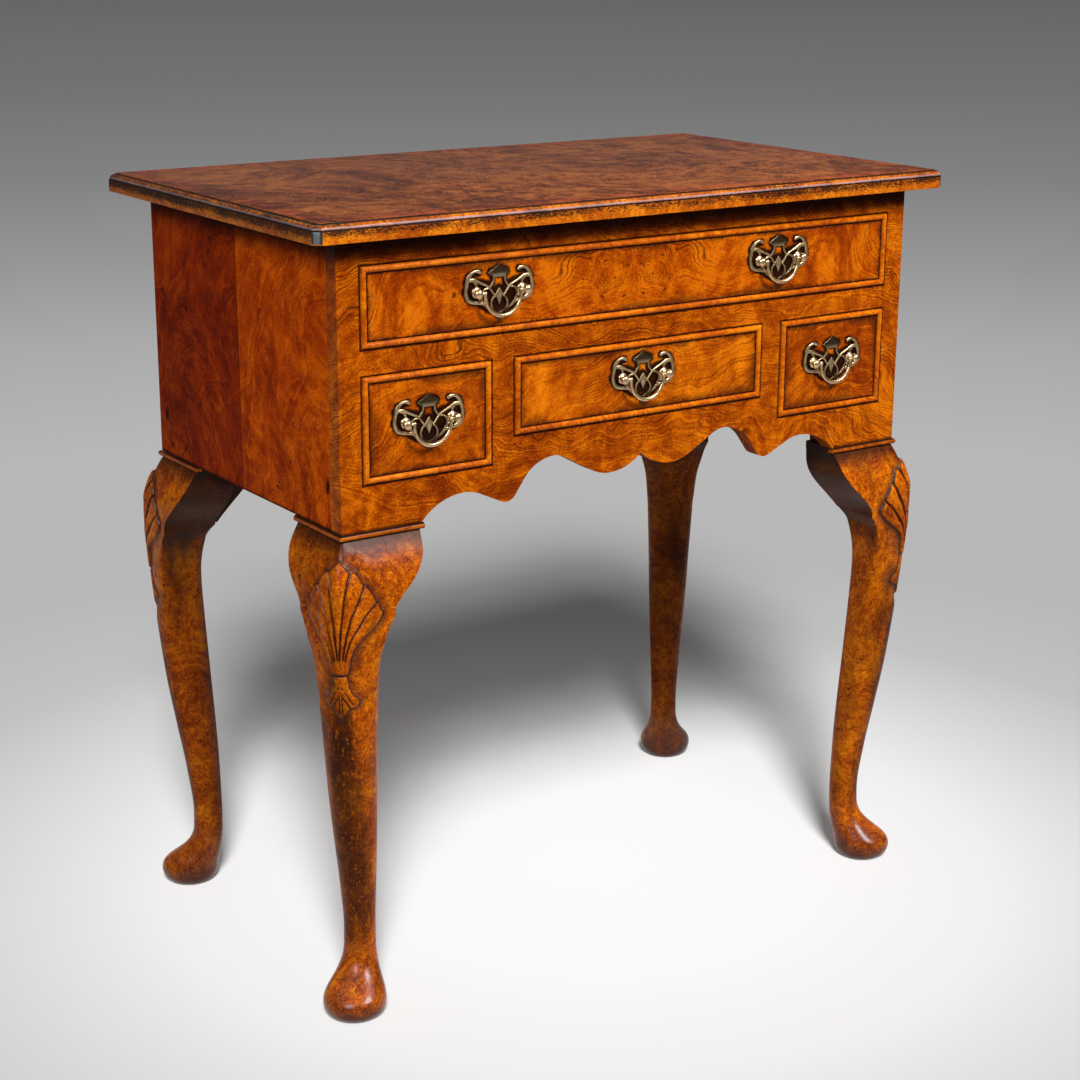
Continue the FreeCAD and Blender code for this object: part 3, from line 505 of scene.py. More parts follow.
drawerVeneers = {name: veneer("drawerVeneer_" + name,
                              drawerMarks(*drawerPlaces[name], [at for handle, at in handlePlaces.items()
                                                                if handle.startswith(name)]), **look)
                 for name, look in drawerLooks.items()}
frontVeneer = veneer("frontVeneer", frontShadeMarks, mid=(0.42, 0.070, 0.0006), seed=21.0, size=8.0, plain=0.36,
                     lineDepth=0.9, direction=(0.15, 0.4, 1.0))
sideVeneer = veneer("sideVeneer", sideMarks, seed=31.0, size=6.0, count=150.0, sway=0.16, direction=(0.3, 0.9, 0.55),
                    join=0.0, behind=(0.62, 0.46, 0.5), lineDepth=0.5, deep=(0.25, 0.021, 0.0004),
                    mid=(0.53, 0.060, 0.0004), light=(0.86, 0.15, 0.001), cover=0.52, swirl=0.3, plain=0.4,
                    shine=0.01, coat=0.0)
topLook = dict(half=(364.5, 215.5), banding=30.0)


def topMarks(tree, place, colour):
    # redder cross-banding round the edge, with a thin line where it meets the middle panel
    x, y, _ = eachWay(place)
    fromX = minus(topLook["half"][0] * mm, maths("ABSOLUTE", x))
    fromY = minus(topLook["half"][1] * mm, maths("ABSOLUTE", y))
    inwards = maths("MINIMUM", fromX, fromY)
    width = topLook["banding"] * mm
    colour = blended(stepped(inwards, width - 0.0006, width + 0.0006, 0.8, 0.0), colour, (1.05, 0.72, 0.66),
                     "MULTIPLY")
    colour = blended(times(band(inwards, width, 0.0012), 0.5), colour, (0.03, 0.01, 0.005))
    specks = cloud(place, 190.0, 5.0, 3.0, 0.6)
    return blended(stepped(specks, 0.57, 0.7, 0.0, 0.65), colour, (0.50, 0.18, 0.04))


topVeneer = veneer("topVeneer", topMarks, deep=(0.046, 0.009, 0.003), mid=(0.168, 0.035, 0.009),
                   light=(0.42, 0.122, 0.026), lineColour=(0.04, 0.01, 0.005), lineDepth=0.45, seed=41.0, size=6.0,
                   count=90.0, sway=0.2, direction=(0.2, 1.0, 0.1), cover=0.48, swirl=0.3, rough=0.34, shine=0.10,
                   coat=0.09, coatRough=0.24, flecks=0.5, shares=(0.46, 0.16, 0.52, 0.3), grain=1.7)


def carvedMarks(tree, place, colour):
    # clouds of old black polish; painted shade down the leg's outer corner, under the knee bead and on the
    # faces that look inwards under the case; darker towards the soles; near-black in the carving's grooves and
    # round its outline, from the piece's attributes
    x, y, z = eachWay(place)
    tall = vectorMaths("MULTIPLY", place, (1.0, 1.0, 0.35))
    clouds = cloud(tall, 30.0, 5.0, 5.0, 0.58)
    short = vectorMaths("MULTIPLY", place, (1.0, 1.0, 0.6))
    specks = cloud(short, 330.0, 8.0, 4.0, 0.65)
    share = plus(clouds, swing(specks, 0.3), stepped(z, 0.30, 0.42, 0.0, -0.06))
    colour = blended(stepped(share, 0.44, 0.76, 0.0, 0.9), colour, (0.030, 0.006, 0.0012))
    # painted shade down the faces that look out past the leg's corner
    diagonalShade = times(painted(tree, "diagonalShade"), stepped(share, 0.32, 0.54, 0.6, 1.1))
    colour = blended(diagonalShade, colour, (0.036, 0.009, 0.0015))
    colour = blended(stepped(specks, 0.54, 0.66, 0.0, 0.6), colour, (0.66, 0.15, 0.002))
    colour = blended(stepped(specks, 0.45, 0.33, 0.0, 0.7), colour, (0.03, 0.005, 0.001))
    # painted shade under the knee bead
    colour = blended(stepped(z, 0.450, 0.471, 0.0, 0.85), colour, (0.012, 0.0035, 0.0015))
    # painted shade on the faces that look inwards under the case; and darker towards the soles
    lean = eachWay(addNode(tree, "NewGeometry").outputs["Normal"])
    inwardX = times(maths("SIGN", x), lean["X"], -1.0)
    fromMiddle = maths("SIGN", minus(y, middleY * mm))
    inwardY = times(fromMiddle, lean["Y"], -1.0)
    inner = stepped(maths("MAXIMUM", inwardX, inwardY), 0.35, 0.8)
    ragged = plus(z, swing(clouds, 0.09))
    inner = times(inner, stepped(ragged, 0.350, 0.405, 0.0, 0.88))
    colour = blended(inner, colour, (0.020, 0.007, 0.003))
    # darker towards the soles
    colour = blended(stepped(ragged, 0.004, 0.024, 0.72, 0.0), colour, (0.030, 0.009, 0.003))
    # near-black in the carving's grooves and round its outline
    return blended(times(painted(tree, "carvingDark"), 0.96), colour, (0.010, 0.007, 0.007))


carvedWalnut = veneer("carvedWalnut", carvedMarks, seed=51.0, size=14.0, count=120.0, plain=0.5, lineDepth=0.3,
                      direction=(0.6, 0.5, 0.25), deep=(0.20, 0.026, 0.0005), mid=(0.50, 0.088, 0.0007),
                      light=(0.86, 0.24, 0.003), grain=1.3, coat=0.12, footCoat=0.5, coatRough=0.26, shine=0.04,
                      rough=0.36)


def edgeWearAndPaintedLight(tree, place, colour):
    # black polish rubbed through in streaks; painted shade in the two steps; a painted highlight along the foot of the
    # ovolo; painted shade on the left side's edge; and a painted reflection on the cut corners, dark with a pale middle
    x, y, z = eachWay(place)
    along = vectorMaths("MULTIPLY", place, (0.42, 0.42, 1.0))
    streaks = cloud(along, 640.0, 7.0, 5.0, 0.75)
    patches = cloud(vectorMaths("MULTIPLY", place, (1.0, 1.0, 3.0)), 30.0, 9.0, 3.0, 0.6)
    farX, farY = maths("ABSOLUTE", x), maths("ABSOLUTE", y)
    side = stepped(farX, 0.3570, 0.3580)
    share = plus(times(streaks, 0.68), times(patches, 0.32), stepped(z, 0.7430, 0.7510, -0.11, 0.055),
                 stepped(z, 0.7545, 0.7560, 0.0, -0.07), times(side, 0.05))
    colour = blended(stepped(share, 0.45, 0.60, 0.0, 0.95), colour, (0.012, 0.005, 0.003))
    # painted shade in the two steps
    for up in (0.7538, 0.7592):
        colour = blended(times(band(z, up, 0.0009), 0.92), colour, (0.008, 0.005, 0.004))
    # painted highlight along the foot of the ovolo
    paintedSheen = times(band(z, 0.7556, 0.0012), stepped(streaks, 0.35, 0.6, 0.5, 1.0))
    paintedSheen = times(paintedSheen, stepped(patches, 0.3, 0.6, 1.0, 0.5))
    colour = blended(times(paintedSheen, 0.9), colour, (0.40, 0.36, 0.42))
    # painted shade on the left side's edge
    colour = blended(times(side, 0.28), colour, (0.02, 0.008, 0.004))
    # painted reflection on the cut corners: dark grey, with a pale middle
    paintedSheen = times(stepped(plus(farX, farY), 0.5728, 0.5733), stepped(z, 0.7425, 0.7440))
    colour = blended(paintedSheen, colour, (0.03, 0.03, 0.035))
    across = maths("ABSOLUTE", minus(minus(farX, farY), 0.149))
    cornerSheen = times(paintedSheen, stepped(across, 0.0030, 0.0052, 1.0, 0.0))
    cornerSheen = times(cornerSheen, stepped(patches, 0.3, 0.6, 0.6, 0.95))
    return blended(cornerSheen, colour, (0.19, 0.21, 0.23))


topEdge = veneer("topEdge", edgeWearAndPaintedLight, seed=61.0, size=14.0, count=200.0, lineDepth=0.2, cover=0.8,
                 deep=(0.36, 0.06, 0.001), mid=(0.60, 0.13, 0.003), light=(0.92, 0.27, 0.008), coat=0.08, shine=0.08)


def beadMarks(tree, place, colour):
    # the knee beads darker overall, and painted shade along their upper and lower edges where they meet the case and
    # the leg
    z = eachWay(place)["Z"]
    colour = blended(stepped(z, 0.480, 0.484, 0.35, 0.0), colour, (0.04, 0.008, 0.002))
    # painted shade in the creases above and below each knee bead
    for up in (0.4722, 0.4779):
        colour = blended(times(band(z, up, 0.0017), 0.97), colour, (0.006, 0.003, 0.002))
    return colour


mouldingWalnut = veneer("mouldingWalnut", beadMarks, seed=71.0, size=20.0, count=60.0, lineDepth=0.15, flecks=0.25,
                        cover=0.9, deep=(0.34, 0.050, 0.001), mid=(0.60, 0.115, 0.001), light=(0.88, 0.24, 0.004),
                        coat=0.10, coatRough=0.2, shine=0.06, grain=0.5)


def plainWood(name, dark, light, along, seed, rough=0.62):
    # straight-grained board: growth rings as waves of a number that climbs across the board and is bent by noise
    # drawn out along it, with fine end-to-end streaks and a few broad stains
    material, tree, shader, place = newMaterial(name, **{"Specular IOR Level": 0.08})
    stretch = {"x": (0.02, 1, 1), "y": (1, 0.02, 1), "z": (1, 1, 0.02)}[along]
    laid = addNode(tree, "Mapping", {"Vector": place, "Scale": stretch}).outputs[0]
    bend = cloud(laid, 11.0, seed, 2.0, 0.45)
    streaks = cloud(laid, 520.0, seed + 1, 4.0, 0.65)
    blotch = cloud(place, 7.0, seed + 2, 4.0, 0.6)
    x, y, z = eachWay(laid)
    number = plus(times(plus(x, y, z), 260.0), times(bend, 75.0))
    ring = times(maths("SINE", number), 0.5)
    share = plus(times(ring, 0.30), times(streaks, 0.75), times(blotch, 0.45))
    colour = toned(share, [(0.25, dark), (0.95, light)])
    gloss = plus(times(streaks, 0.2), rough - 0.1)
    finish(tree, shader, colour, gloss, streaks, 0.25, 0.0006)
    return material


drawerOak = plainWood("drawerOak", (0.17, 0.072, 0.020), (0.52, 0.28, 0.10), "y", 3.0)
drawerOakAcross = plainWood("drawerOakAcross", (0.17, 0.072, 0.020), (0.52, 0.28, 0.10), "x", 5.0)
carcasePine = plainWood("carcasePine", (0.12, 0.038, 0.009), (0.50, 0.225, 0.062), "x", 8.0, 0.75)
carcasePineDeep = plainWood("carcasePineDeep", (0.17, 0.065, 0.018), (0.52, 0.26, 0.085), "y", 9.0, 0.75)


def metal(name, bright, dull, dirt, rough, low=None):
    # cast metal: clouds of duller skin, dirt in the low places read from the piece's relief attribute
    material, tree, shader, place = newMaterial(name, **{"Metallic": 1.0})
    skin = cloud(place, 160.0, 2.0, 5.0, 0.6)
    fine = cloud(place, 900.0, 4.0, 3.0, 0.6)
    colour = blended(stepped(skin, 0.35, 0.68), bright, dull)
    if low:
        relief = plus(painted(tree, low), swing(skin, 0.5))
        colour = blended(stepped(relief, 0.45, 1.0, 0.92, 0.0), colour, dirt)
    else:
        colour = blended(stepped(skin, 0.55, 0.72, 0.0, 0.6), colour, dirt)
    gloss = plus(times(skin, 0.3), rough - 0.15)
    height = plus(times(skin, 0.7), times(fine, 0.3))
    finish(tree, shader, colour, gloss, height, 0.25, 0.0005)
    return material


castBrass = metal("castBrass", (0.84, 0.62, 0.35), (0.38, 0.25, 0.11), (0.05, 0.027, 0.012), 0.33, "relief")
turnedBrass = metal("turnedBrass", (0.88, 0.66, 0.39), (0.50, 0.34, 0.16), (0.14, 0.085, 0.04), 0.28)
screwIron = metal("screwIron", (0.16, 0.15, 0.14), (0.10, 0.085, 0.075), (0.08, 0.04, 0.02), 0.5)
print("materials made")


# pieces of the frame get their finish
def finishFor(name):
    if name.startswith("handle_"):
        return turnedBrass
    if name.startswith("drawer_") and name.endswith("_front"):
        return drawerVeneers[name[7:-6]]
    if name.endswith("cockbeads") or name == "knee_beads":
        return mouldingWalnut
    if name.startswith("drawer_") and "_side_" in name:
        return drawerOak
    if name.startswith("drawer_") and name.endswith(("_back", "_bottom")):
        return drawerOakAcross
    if name.startswith("side_panel"):
        return sideVeneer
    if name.startswith(("leg_", "knee_blocks")):
        return carvedWalnut
    if name == "top_screws":
        return screwIron
    if name == "top_board":
        return topVeneer
    if name in ("drawer_runners", "kicker_strips"):
        return carcasePineDeep
    if name in ("back_board", "glue_blocks"):
        return carcasePine
    return frontVeneer


for name, piece in nodes.items():
    piece.data.materials.clear()
    piece.data.materials.append(finishFor(name))
print("finishes on the fixed pieces")


# top: a profile carried round the rectangle with its cut corners
topBoard = dict(width=729.0, depth=431.0, clip=6.5, fasciaTop=753.5, step=0.9, run=5.6, arris=0.35, sweep=14)


def makeTop():
    s = topBoard
    start, end = s["fasciaTop"] + s["step"], topZ - s["step"]
    turn = np.linspace(0, np.pi / 2, s["sweep"])
    a, inner = s["arris"], s["step"] * 2 + s["run"]
    curve = np.stack([s["step"] + s["run"] * (1 - np.cos(turn)), start + (end - start) * np.sin(turn)], -1)
    low = [(a * 2, caseTop), (a * 0.6, caseTop + a * 0.2), (a * 0.2, caseTop + a * 0.6), (0, caseTop + a * 2),
           (0, s["fasciaTop"] - a), (a * 0.3, s["fasciaTop"] - a * 0.3), (a, s["fasciaTop"]),
           (s["step"], s["fasciaTop"])]
    high = [(inner, end), (inner, topZ - a), (inner + a * 0.3, topZ - a * 0.3), (inner + a, topZ)]
    profile = np.concatenate([low, curve, high])
    inset, z = profile[:, :1], profile[:, 1:]
    x = s["width"] / 2 - inset
    y = s["depth"] / 2 - inset
    c = s["clip"] - inset * (2 - np.sqrt(2))
    ring = np.stack([np.concatenate([-x + c, x - c, x, x, x - c, -x + c, -x, -x], 1),
                     np.concatenate([-y, -y, -y + c, y - c, y, y, y - c, -y + c], 1),
                     np.repeat(z, 8, 1)], -1)
    rows = len(profile)
    faces = gridFaces(rows, 8).tolist() + [list(range(7, -1, -1)), list(range((rows - 1) * 8, rows * 8))]
    which = np.ones(len(faces), int)
    which[-1] = 0
    makePiece("topBoard", ring, faces, [topVeneer, topEdge], "top_board", "case", which)


makeTop()
print("top made")


# cabriole legs: rounded square rings that follow the knee, ankle and pad foot, with the shell carved on the knee
leg = dict(
    height=472.0, stock=42.0,
    # rows: at the sole, along the foot, then by steps, which are finest where the knee is carved
    sole=(0.0, 0.3, 0.8, 1.5, 2.5, 4.0, 6.0), foot=(8.0, 30.0, 1.0), dense=(294.0, 458.0, 0.72), coarse=3.2,
    # square neck inside the bead and the stub inside the case, as (x, y, z) ranges of the front left leg
    blocks=(((-328.2, -290.2), (-187.0, -149.0), (472.0, 478.0)),
            ((-314.2, -276.2), (-173.0, -135.0), (478.0, 507.5))),
    # swell outside the case's corner and reach inside it, at each height
    outer=[(0, 12.5), (2.5, 17.3), (8, 21.4), (13.5, 22.5), (17.5, 22.0), (21, 20.4), (25, 17.2), (30, 12.0),
           (36, 5.6), (42, 0.3), (51, -5.0), (62, -7.8), (80, -8.4),
           (130, -3.8), (180, 3.2), (240, 11.0), (300, 15.8), (350, 18.6), (400, 21.2), (425, 20.8), (445, 15.5),
           (460, 8.0), (472, 0.0)],
    inner=[(0, 28.0), (2.5, 32.6), (8, 35.8), (14, 37.2), (40, 38.2), (80, 38.4), (130, 38.3), (240, 35.4), (300, 32.6),
           (350, 30.6), (387, 34.5), (402, 42.5), (412, 51.0), (423, 61.5), (434, 71.5), (445, 79.5), (456, 83.0),
           (472, 83.0)],
    # rounding of the corners, as a share of half the width
    knee=[(0, 0.97), (240, 0.97), (300, 0.9), (340, 0.8), (382, 0.72), (420, 0.62), (450, 0.4), (472, 0.08)],
    arris=[(0, 0.97), (240, 0.97), (300, 0.8), (340, 0.55), (364, 0.35), (382, 0.1), (392, 0.015), (472, 0.015)],
    back=[(0, 0.97), (240, 0.97), (300, 0.9), (340, 0.8), (364, 0.7), (396, 0.5), (472, 0.05)])
shell = dict(
    neckHeight=352.0, proud=2.4, crown=1.7, cut=2.1, cutHalf=0.95, ground=0.7, sunk=2.3, reach=15.0,
    tipUp=(105.0, 94.5, 81.0, 65.0, 55.0), scallop=(0.6, 4.2, 4.4, 2.2),
    # groove lines as (height over the neck, distance from the middle)
    lines=([(0, 0.3), (17, 1.0), (33, 2.3), (47, 3.6), (57, 4.9), (71, 6.8), (94.5, 10.6)],
           [(0, 2.5), (16, 4.1), (33, 7.3), (44.5, 9.9), (55.5, 13.0), (66, 17.3), (81, 22.0)],
           [(0, 4.2), (13, 5.6), (23, 8.2), (34, 12.0), (44.5, 18.0), (55.5, 24.0), (65, 32.0)],
           [(-2, 7.0), (2, 8.3), (9, 10.2), (19.5, 12.5), (27, 15.5), (34, 21.5), (42, 29.0), (48, 33.5), (55, 36.3)]),
    bell=[(0, 1.0), (7.2, -0.6), (7.7, -6.0), (9.2, -14.0), (12.0, -20.5), (16.6, -25.6), (16.2, -29.6), (12.0, -32.8),
          (8.6, -33.2), (7.2, -35.2), (3.0, -41.5), (0, -46.0)],
    veins=[((4.6, -16.5), (11.4, -29.5), 0.55), ((2.2, -22.0), (8.8, -33.0), 0.7), ((1.3, -20.0), (1.2, -38.0), 0.5),
           ((1.8, -12.8), (1.8, -13.2), 0.9)], bellRise=2.0)


def insidePolygon(x, z, corners):
    # signed distance to a polygon symmetric about x = 0: positive inside
    half = np.array(corners, float)
    whole = np.concatenate([half, (half * [-1, 1])[::-1]])
    away = np.full(x.shape, 1e9)
    inside = np.zeros(x.shape, bool)
    for (ax, az), (bx, bz) in zip(whole, np.roll(whole, -1, 0)):
        ex, ez = bx - ax, bz - az
        long = ex * ex + ez * ez
        if long < 1e-9:
            continue
        t = np.clip(((x - ax) * ex + (z - az) * ez) / long, 0, 1)
        away = np.minimum(away, np.hypot(x - ax - t * ex, z - az - t * ez))
        if az != bz:
            crossing = ((az > z) != (bz > z)) & (x < ex * (z - az) / ez + ax)
            inside ^= crossing
    return np.where(inside, away, -away)


def legRings(z):
    # at each height z: four corner arcs joined by straight faces, counter-clockwise from the knee corner
    s = leg
    swell = eased(s["outer"], z)
    reach = np.minimum(eased(s["inner"], z), s["stock"])
    half = (swell + reach) / 2
    x0, x1, y0, y1 = -caseHalf - swell, -caseHalf + reach, frontY - swell, frontY + reach
    knee, arris, back = (eased(s[k], z) * half for k in ("knee", "arris", "back"))
    corners = [(x0 + knee, y0 + knee, knee, np.pi, 64), (x1 - arris, y0 + arris, arris, 1.5 * np.pi, 10),
               (x1 - back, y1 - back, back, 0.0, 14), (x0 + arris, y1 - arris, arris, 0.5 * np.pi, 10)]
    spacing = [76, 12, 12, 76]
    xs, ys = [], []
    ends = []
    for cx, cy, r, start, count in corners:
        angle = start + np.linspace(0, np.pi / 2, count)
        ends.append((cx[:, None] + r[:, None] * np.cos(angle), cy[:, None] + r[:, None] * np.sin(angle)))
    for i in range(4):
        ax, ay = ends[i]
        bx, by = ends[(i + 1) % 4]
        xs.append(ax)
        ys.append(ay)
        t = np.linspace(0, 1, spacing[i] + 2)[1:-1]
        xs.append(ax[:, -1:] * (1 - t) + bx[:, :1] * t)
        ys.append(ay[:, -1:] * (1 - t) + by[:, :1] * t)
    x, y = np.concatenate(xs, 1), np.concatenate(ys, 1)
    return np.stack([x, y, np.repeat(z[:, None], x.shape[1], 1)], -1)


def shellRelief(across, up):
    # height of the carving and how dark it is, at a distance across the knee's diagonal and up from the shell's neck:
    # lobes lie between groove lines, each a shallow dome across, with a scalloped outline above
    s = shell
    a = np.abs(across)
    lines = [np.zeros_like(a)] + [eased(line, up) for line in s["lines"]]
    lobe = np.zeros_like(a)
    for k in range(4):
        lobe = np.where(a >= lines[k], k + (a - lines[k]) / np.maximum(lines[k + 1] - lines[k], 0.1), lobe)
    k = np.clip(np.floor(lobe), 0, 3).astype(int)
    part = np.clip(lobe - k, 0, 1)
    tops = np.array(s["tipUp"])
    outline = tops[k] + (tops[k + 1] - tops[k]) * part + np.array(s["scallop"])[k] * np.sin(np.pi * part) ** 0.7
    width = np.stack(lines, 0)
    wide = np.take_along_axis(width, k[None] + 1, 0)[0] - np.take_along_axis(width, k[None], 0)[0]
    toSide = (4 - lobe) * np.maximum(wide, 1.0)
    toTop = (outline - up) * 0.8
    inside = np.minimum(np.minimum(toTop, toSide), up + 1.5)
    share = np.where(k == 0, part / 2 + 0.5, part)
    dome = np.clip(1 - (2 * share - 1) ** 2, 0, 1)
    toGroove = np.minimum(np.where(k == 0, 1 - part, part), 1 - part) * wide
    toGroove = np.where(k == 3, part * wide, toGroove)
    slim = np.clip(np.where(k == 0, 2 * wide, wide) / 9.0, 0.25, 1.0)
    height = smoothstep(-0.4, 1.3, inside) * (s["proud"] + s["crown"] * slim * (dome ** 0.7 - 0.6))
    live = smoothstep(9.0, 17.0, up) * smoothstep(-1.0, 0.6, inside)
    cut = np.exp(-(toGroove / s["cutHalf"]) ** 2) * live
    height -= cut * s["cut"] * (0.55 + 0.45 * slim)
    away = np.where(lobe > 4, (a - lines[4]) * 0.8, 0)
    outer = np.maximum(np.maximum(-toTop, away), 0) * (inside <= 0)
    near = (inside <= 0) * smoothstep(-4, 3, up)
    height -= np.exp(-(outer / 2.2) ** 2) * near * s["ground"]
    # near-black in the grooves, round the outline and in a halo beside it
    carvingDark = np.maximum(cut, np.exp(-((outer - 0.5) / 1.2) ** 2) * near)
    carvingDark = np.maximum(carvingDark, smoothstep(0.9, 0.0, inside) * (inside > 0) * 0.8)
    carvingDark = np.maximum(carvingDark, np.exp(-((outer - 1.5) / 4.2) ** 2) * near * 0.62)
    # bellflower under the neck: a flat-topped flower with cut veins, standing over the same sunk ground
    flower = insidePolygon(a, up, s["bell"])
    rise = smoothstep(-0.3, 1.5, flower) * s["bellRise"]
    for (ax, az), (bx, bz), half in s["veins"]:
        ex, ez = bx - ax, bz - az
        t = np.clip(((a - ax) * ex + (up - az) * ez) / (ex * ex + ez * ez), 0, 1)
        vein = np.exp(-(np.hypot(a - ax - t * ex, up - az - t * ez) / half) ** 2) * (flower > 0)
        rise -= vein * 1.1
        carvingDark = np.maximum(carvingDark, vein)
    height = np.maximum(height, rise * (flower > -0.3))
    rim = np.exp(-((np.minimum(flower, 0) + 0.6) / 1.2) ** 2) * (flower < 0.3) * (flower > -6) * (up < 2)
    carvingDark = np.maximum(carvingDark, rim * 0.95)
    halo = np.exp(-((np.minimum(flower, 0) + 1.5) / 3.2) ** 2) * (flower < 0) * (up < 2)
    carvingDark = np.maximum(carvingDark, halo * 0.5)
    # collar: a deep cut between the neck and the flower, a little hollow at its middle
    collar = np.exp(-((up + 0.8 - 0.05 * a ** 1.5) / 1.1) ** 2) * smoothstep(9.5, 7.8, a)
    height -= collar * 1.6
    carvingDark = np.maximum(carvingDark, collar)
    far = np.maximum(-inside, 0) * (up > 0) + np.maximum(-flower, 0) * (up <= 0)
    height -= s["sunk"] * smoothstep(s["reach"], 1.0, far) * smoothstep(-64, -50, up)
    return height, np.clip(carvingDark, 0, 1)


def makeLeg(name, node, signX, signY):
    low, high, step = leg["dense"]
    z = np.concatenate([leg["sole"], np.arange(*leg["foot"]), np.arange(leg["foot"][1], low, leg["coarse"]),
                        np.arange(low, high, step), np.arange(high, leg["height"], 1.0), [leg["height"]]])
    ring = legRings(z)
    x, y = ring[..., 0] + caseHalf, ring[..., 1] - frontY
    across = (x - y) / np.sqrt(2)
    outward = -(x + y) / np.sqrt(2)
    up = ring[..., 2] - shell["neckHeight"]
    height, carvingDark = shellRelief(across, up)
    # carving moves points along the ring's own outward normal, and fades before the inner faces
    forward = np.roll(ring, -1, 1) - np.roll(ring, 1, 1)
    normal = np.stack([forward[..., 1], -forward[..., 0], np.zeros_like(x)], -1)
    normal /= np.maximum(np.linalg.norm(normal, axis=-1, keepdims=True), 1e-9)
    front = smoothstep(-30.0, -22.0, outward) * (normal[..., 0] + normal[..., 1] < 0.35)
    reach = smoothstep(41.0, 37.0, np.abs(across))
    height, carvingDark = height * front * reach, carvingDark * front * reach
    # painted shade down the faces that look out past the leg's outer corner, from 50 to 350 mm up
    facing = -(normal[..., 0] + normal[..., 1]) / np.sqrt(2)
    lower = smoothstep(300.0, 180.0, ring[..., 2])
    diagonalShade = smoothstep(0.72 - 0.5 * lower, 0.97 - 0.1 * lower, facing) * (0.8 - 0.12 * lower)
    diagonalShade = diagonalShade * smoothstep(50.0, 95.0, ring[..., 2]) * smoothstep(350.0, 290.0, ring[..., 2])
    ring = ring + normal * height[..., None]
    rows, columns = ring.shape[:2]
    points = ring.reshape(-1, 3)
    faces = gridFaces(rows, columns).tolist()
    faces += [list(range(columns - 1, -1, -1)), list(range((rows - 1) * columns, rows * columns))]
    for bx, by, bz in leg["blocks"]:
        base = len(points)
        corner = [(x, y, z) for z in bz for x, y in ((bx[0], by[0]), (bx[1], by[0]), (bx[1], by[1]), (bx[0], by[1]))]
        points = np.concatenate([points, corner])
        faces += [[base + i for i in loop] for loop in ((3, 2, 1, 0), (4, 5, 6, 7), (0, 1, 5, 4), (1, 2, 6, 5),
                                                        (2, 3, 7, 6), (3, 0, 4, 7))]
    points[:, 0] *= signX
    points[:, 1] = (points[:, 1] - middleY) * signY + middleY
    if signX * signY < 0:
        faces = [loop[::-1] for loop in faces]
    piece = makePiece(name, points, faces, [carvedWalnut], node, "case", sharp=50)
    for title, value in (("carvingDark", carvingDark), ("diagonalShade", diagonalShade)):
        dark = piece.data.attributes.new(title, "FLOAT", "POINT")
        plain = np.zeros(len(points) - value.size)
        dark.data.foreach_set("value", np.concatenate([value.ravel(), plain]).astype(np.float32))


for end, signY in (("front", 1), ("back", -1)):
    for side, signX in (("left", 1), ("right", -1)):
        makeLeg("leg_carved_" + end + "_" + side, "leg_" + end + "_" + side, signX, signY)
print("legs made")


# pierced handle plates: a height over the plate's plane, from the distance to the middle line of each strap
plate = dict(
    cell=0.28, edge=0.55, dome=1.75, post=24.5, rise=2.6, pad=5.2, stud=(21.4, -3.0, 1.7), face=frontY,
    # (across, up, width) along the middle of each strap of the right half
    straps=[[(6.0, 15.8, 3.2), (6.6, 11.0, 2.8), (9.8, 6.6, 2.9)],
            [(32.0, 14.2, 4.2), (27.0, 14.0, 4.4), (20.4, 11.0, 3.2), (13.0, 7.6, 2.8), (9.6, 4.4, 2.5),
             (4.6, -2.2, 2.6)],
            [(0.0, 4.4, 2.4), (3.0, 0.0, 2.4), (7.2, -4.4, 2.4), (8.8, -9.2, 2.9), (6.6, -15.0, 2.8),
             (0.0, -18.6, 3.0)],
            [(10.6, 5.4, 2.3), (15.4, 4.9, 2.5), (18.9, 1.6, 2.6), (19.0, -4.0, 3.0), (15.6, -9.4, 3.4),
             (8.0, -15.6, 2.9)],
            [(20.6, 20.6, 3.6), (22.4, 21.6, 4.2), (26.4, 22.0, 3.4), (30.6, 19.8, 4.2), (33.6, 15.2, 4.8),
             (35.3, 9.0, 4.4), (35.8, 2.8, 4.6), (33.4, -3.2, 5.0), (28.2, -5.8, 4.6), (22.0, -7.0, 3.8),
             (15.8, -8.6, 3.0)],
            [(27.4, 13.0, 3.6), (24.6, 9.4, 3.4), (25.6, 5.0, 3.6)]],
    finial=[(0, 27.6), (2.2, 25.4), (6.2, 22.8), (9.6, 21.4), (12.2, 19.2), (11.4, 17.4), (8.4, 16.4), (6.4, 14.4),
            (0, 14.6)],
    lozenge=[(0, 5.8), (3.9, -1.8), (2.9, -4.6), (0, -11.6)],
    pendant=[(0, -18.0), (3.2, -18.8), (3.7, -22.4), (1.6, -24.0), (0, -27.0)])


def throughPoints(points, count):
    # Catmull-Rom curve through the points, sampled evenly in its parameter
    p = np.array(points, float)
    p = np.concatenate([2 * p[:1] - p[1:2], p, 2 * p[-1:] - p[-2:-1]])
    u = np.linspace(0, len(points) - 1 - 1e-9, count)
    k = u.astype(int)
    t = (u - k)[:, None]
    a, b, c, d = p[k], p[k + 1], p[k + 2], p[k + 3]
    return 0.5 * (2 * b + (c - a) * t + (2 * a - 5 * b + 4 * c - d) * t ** 2 + (3 * b - a - 3 * c + d) * t ** 3)


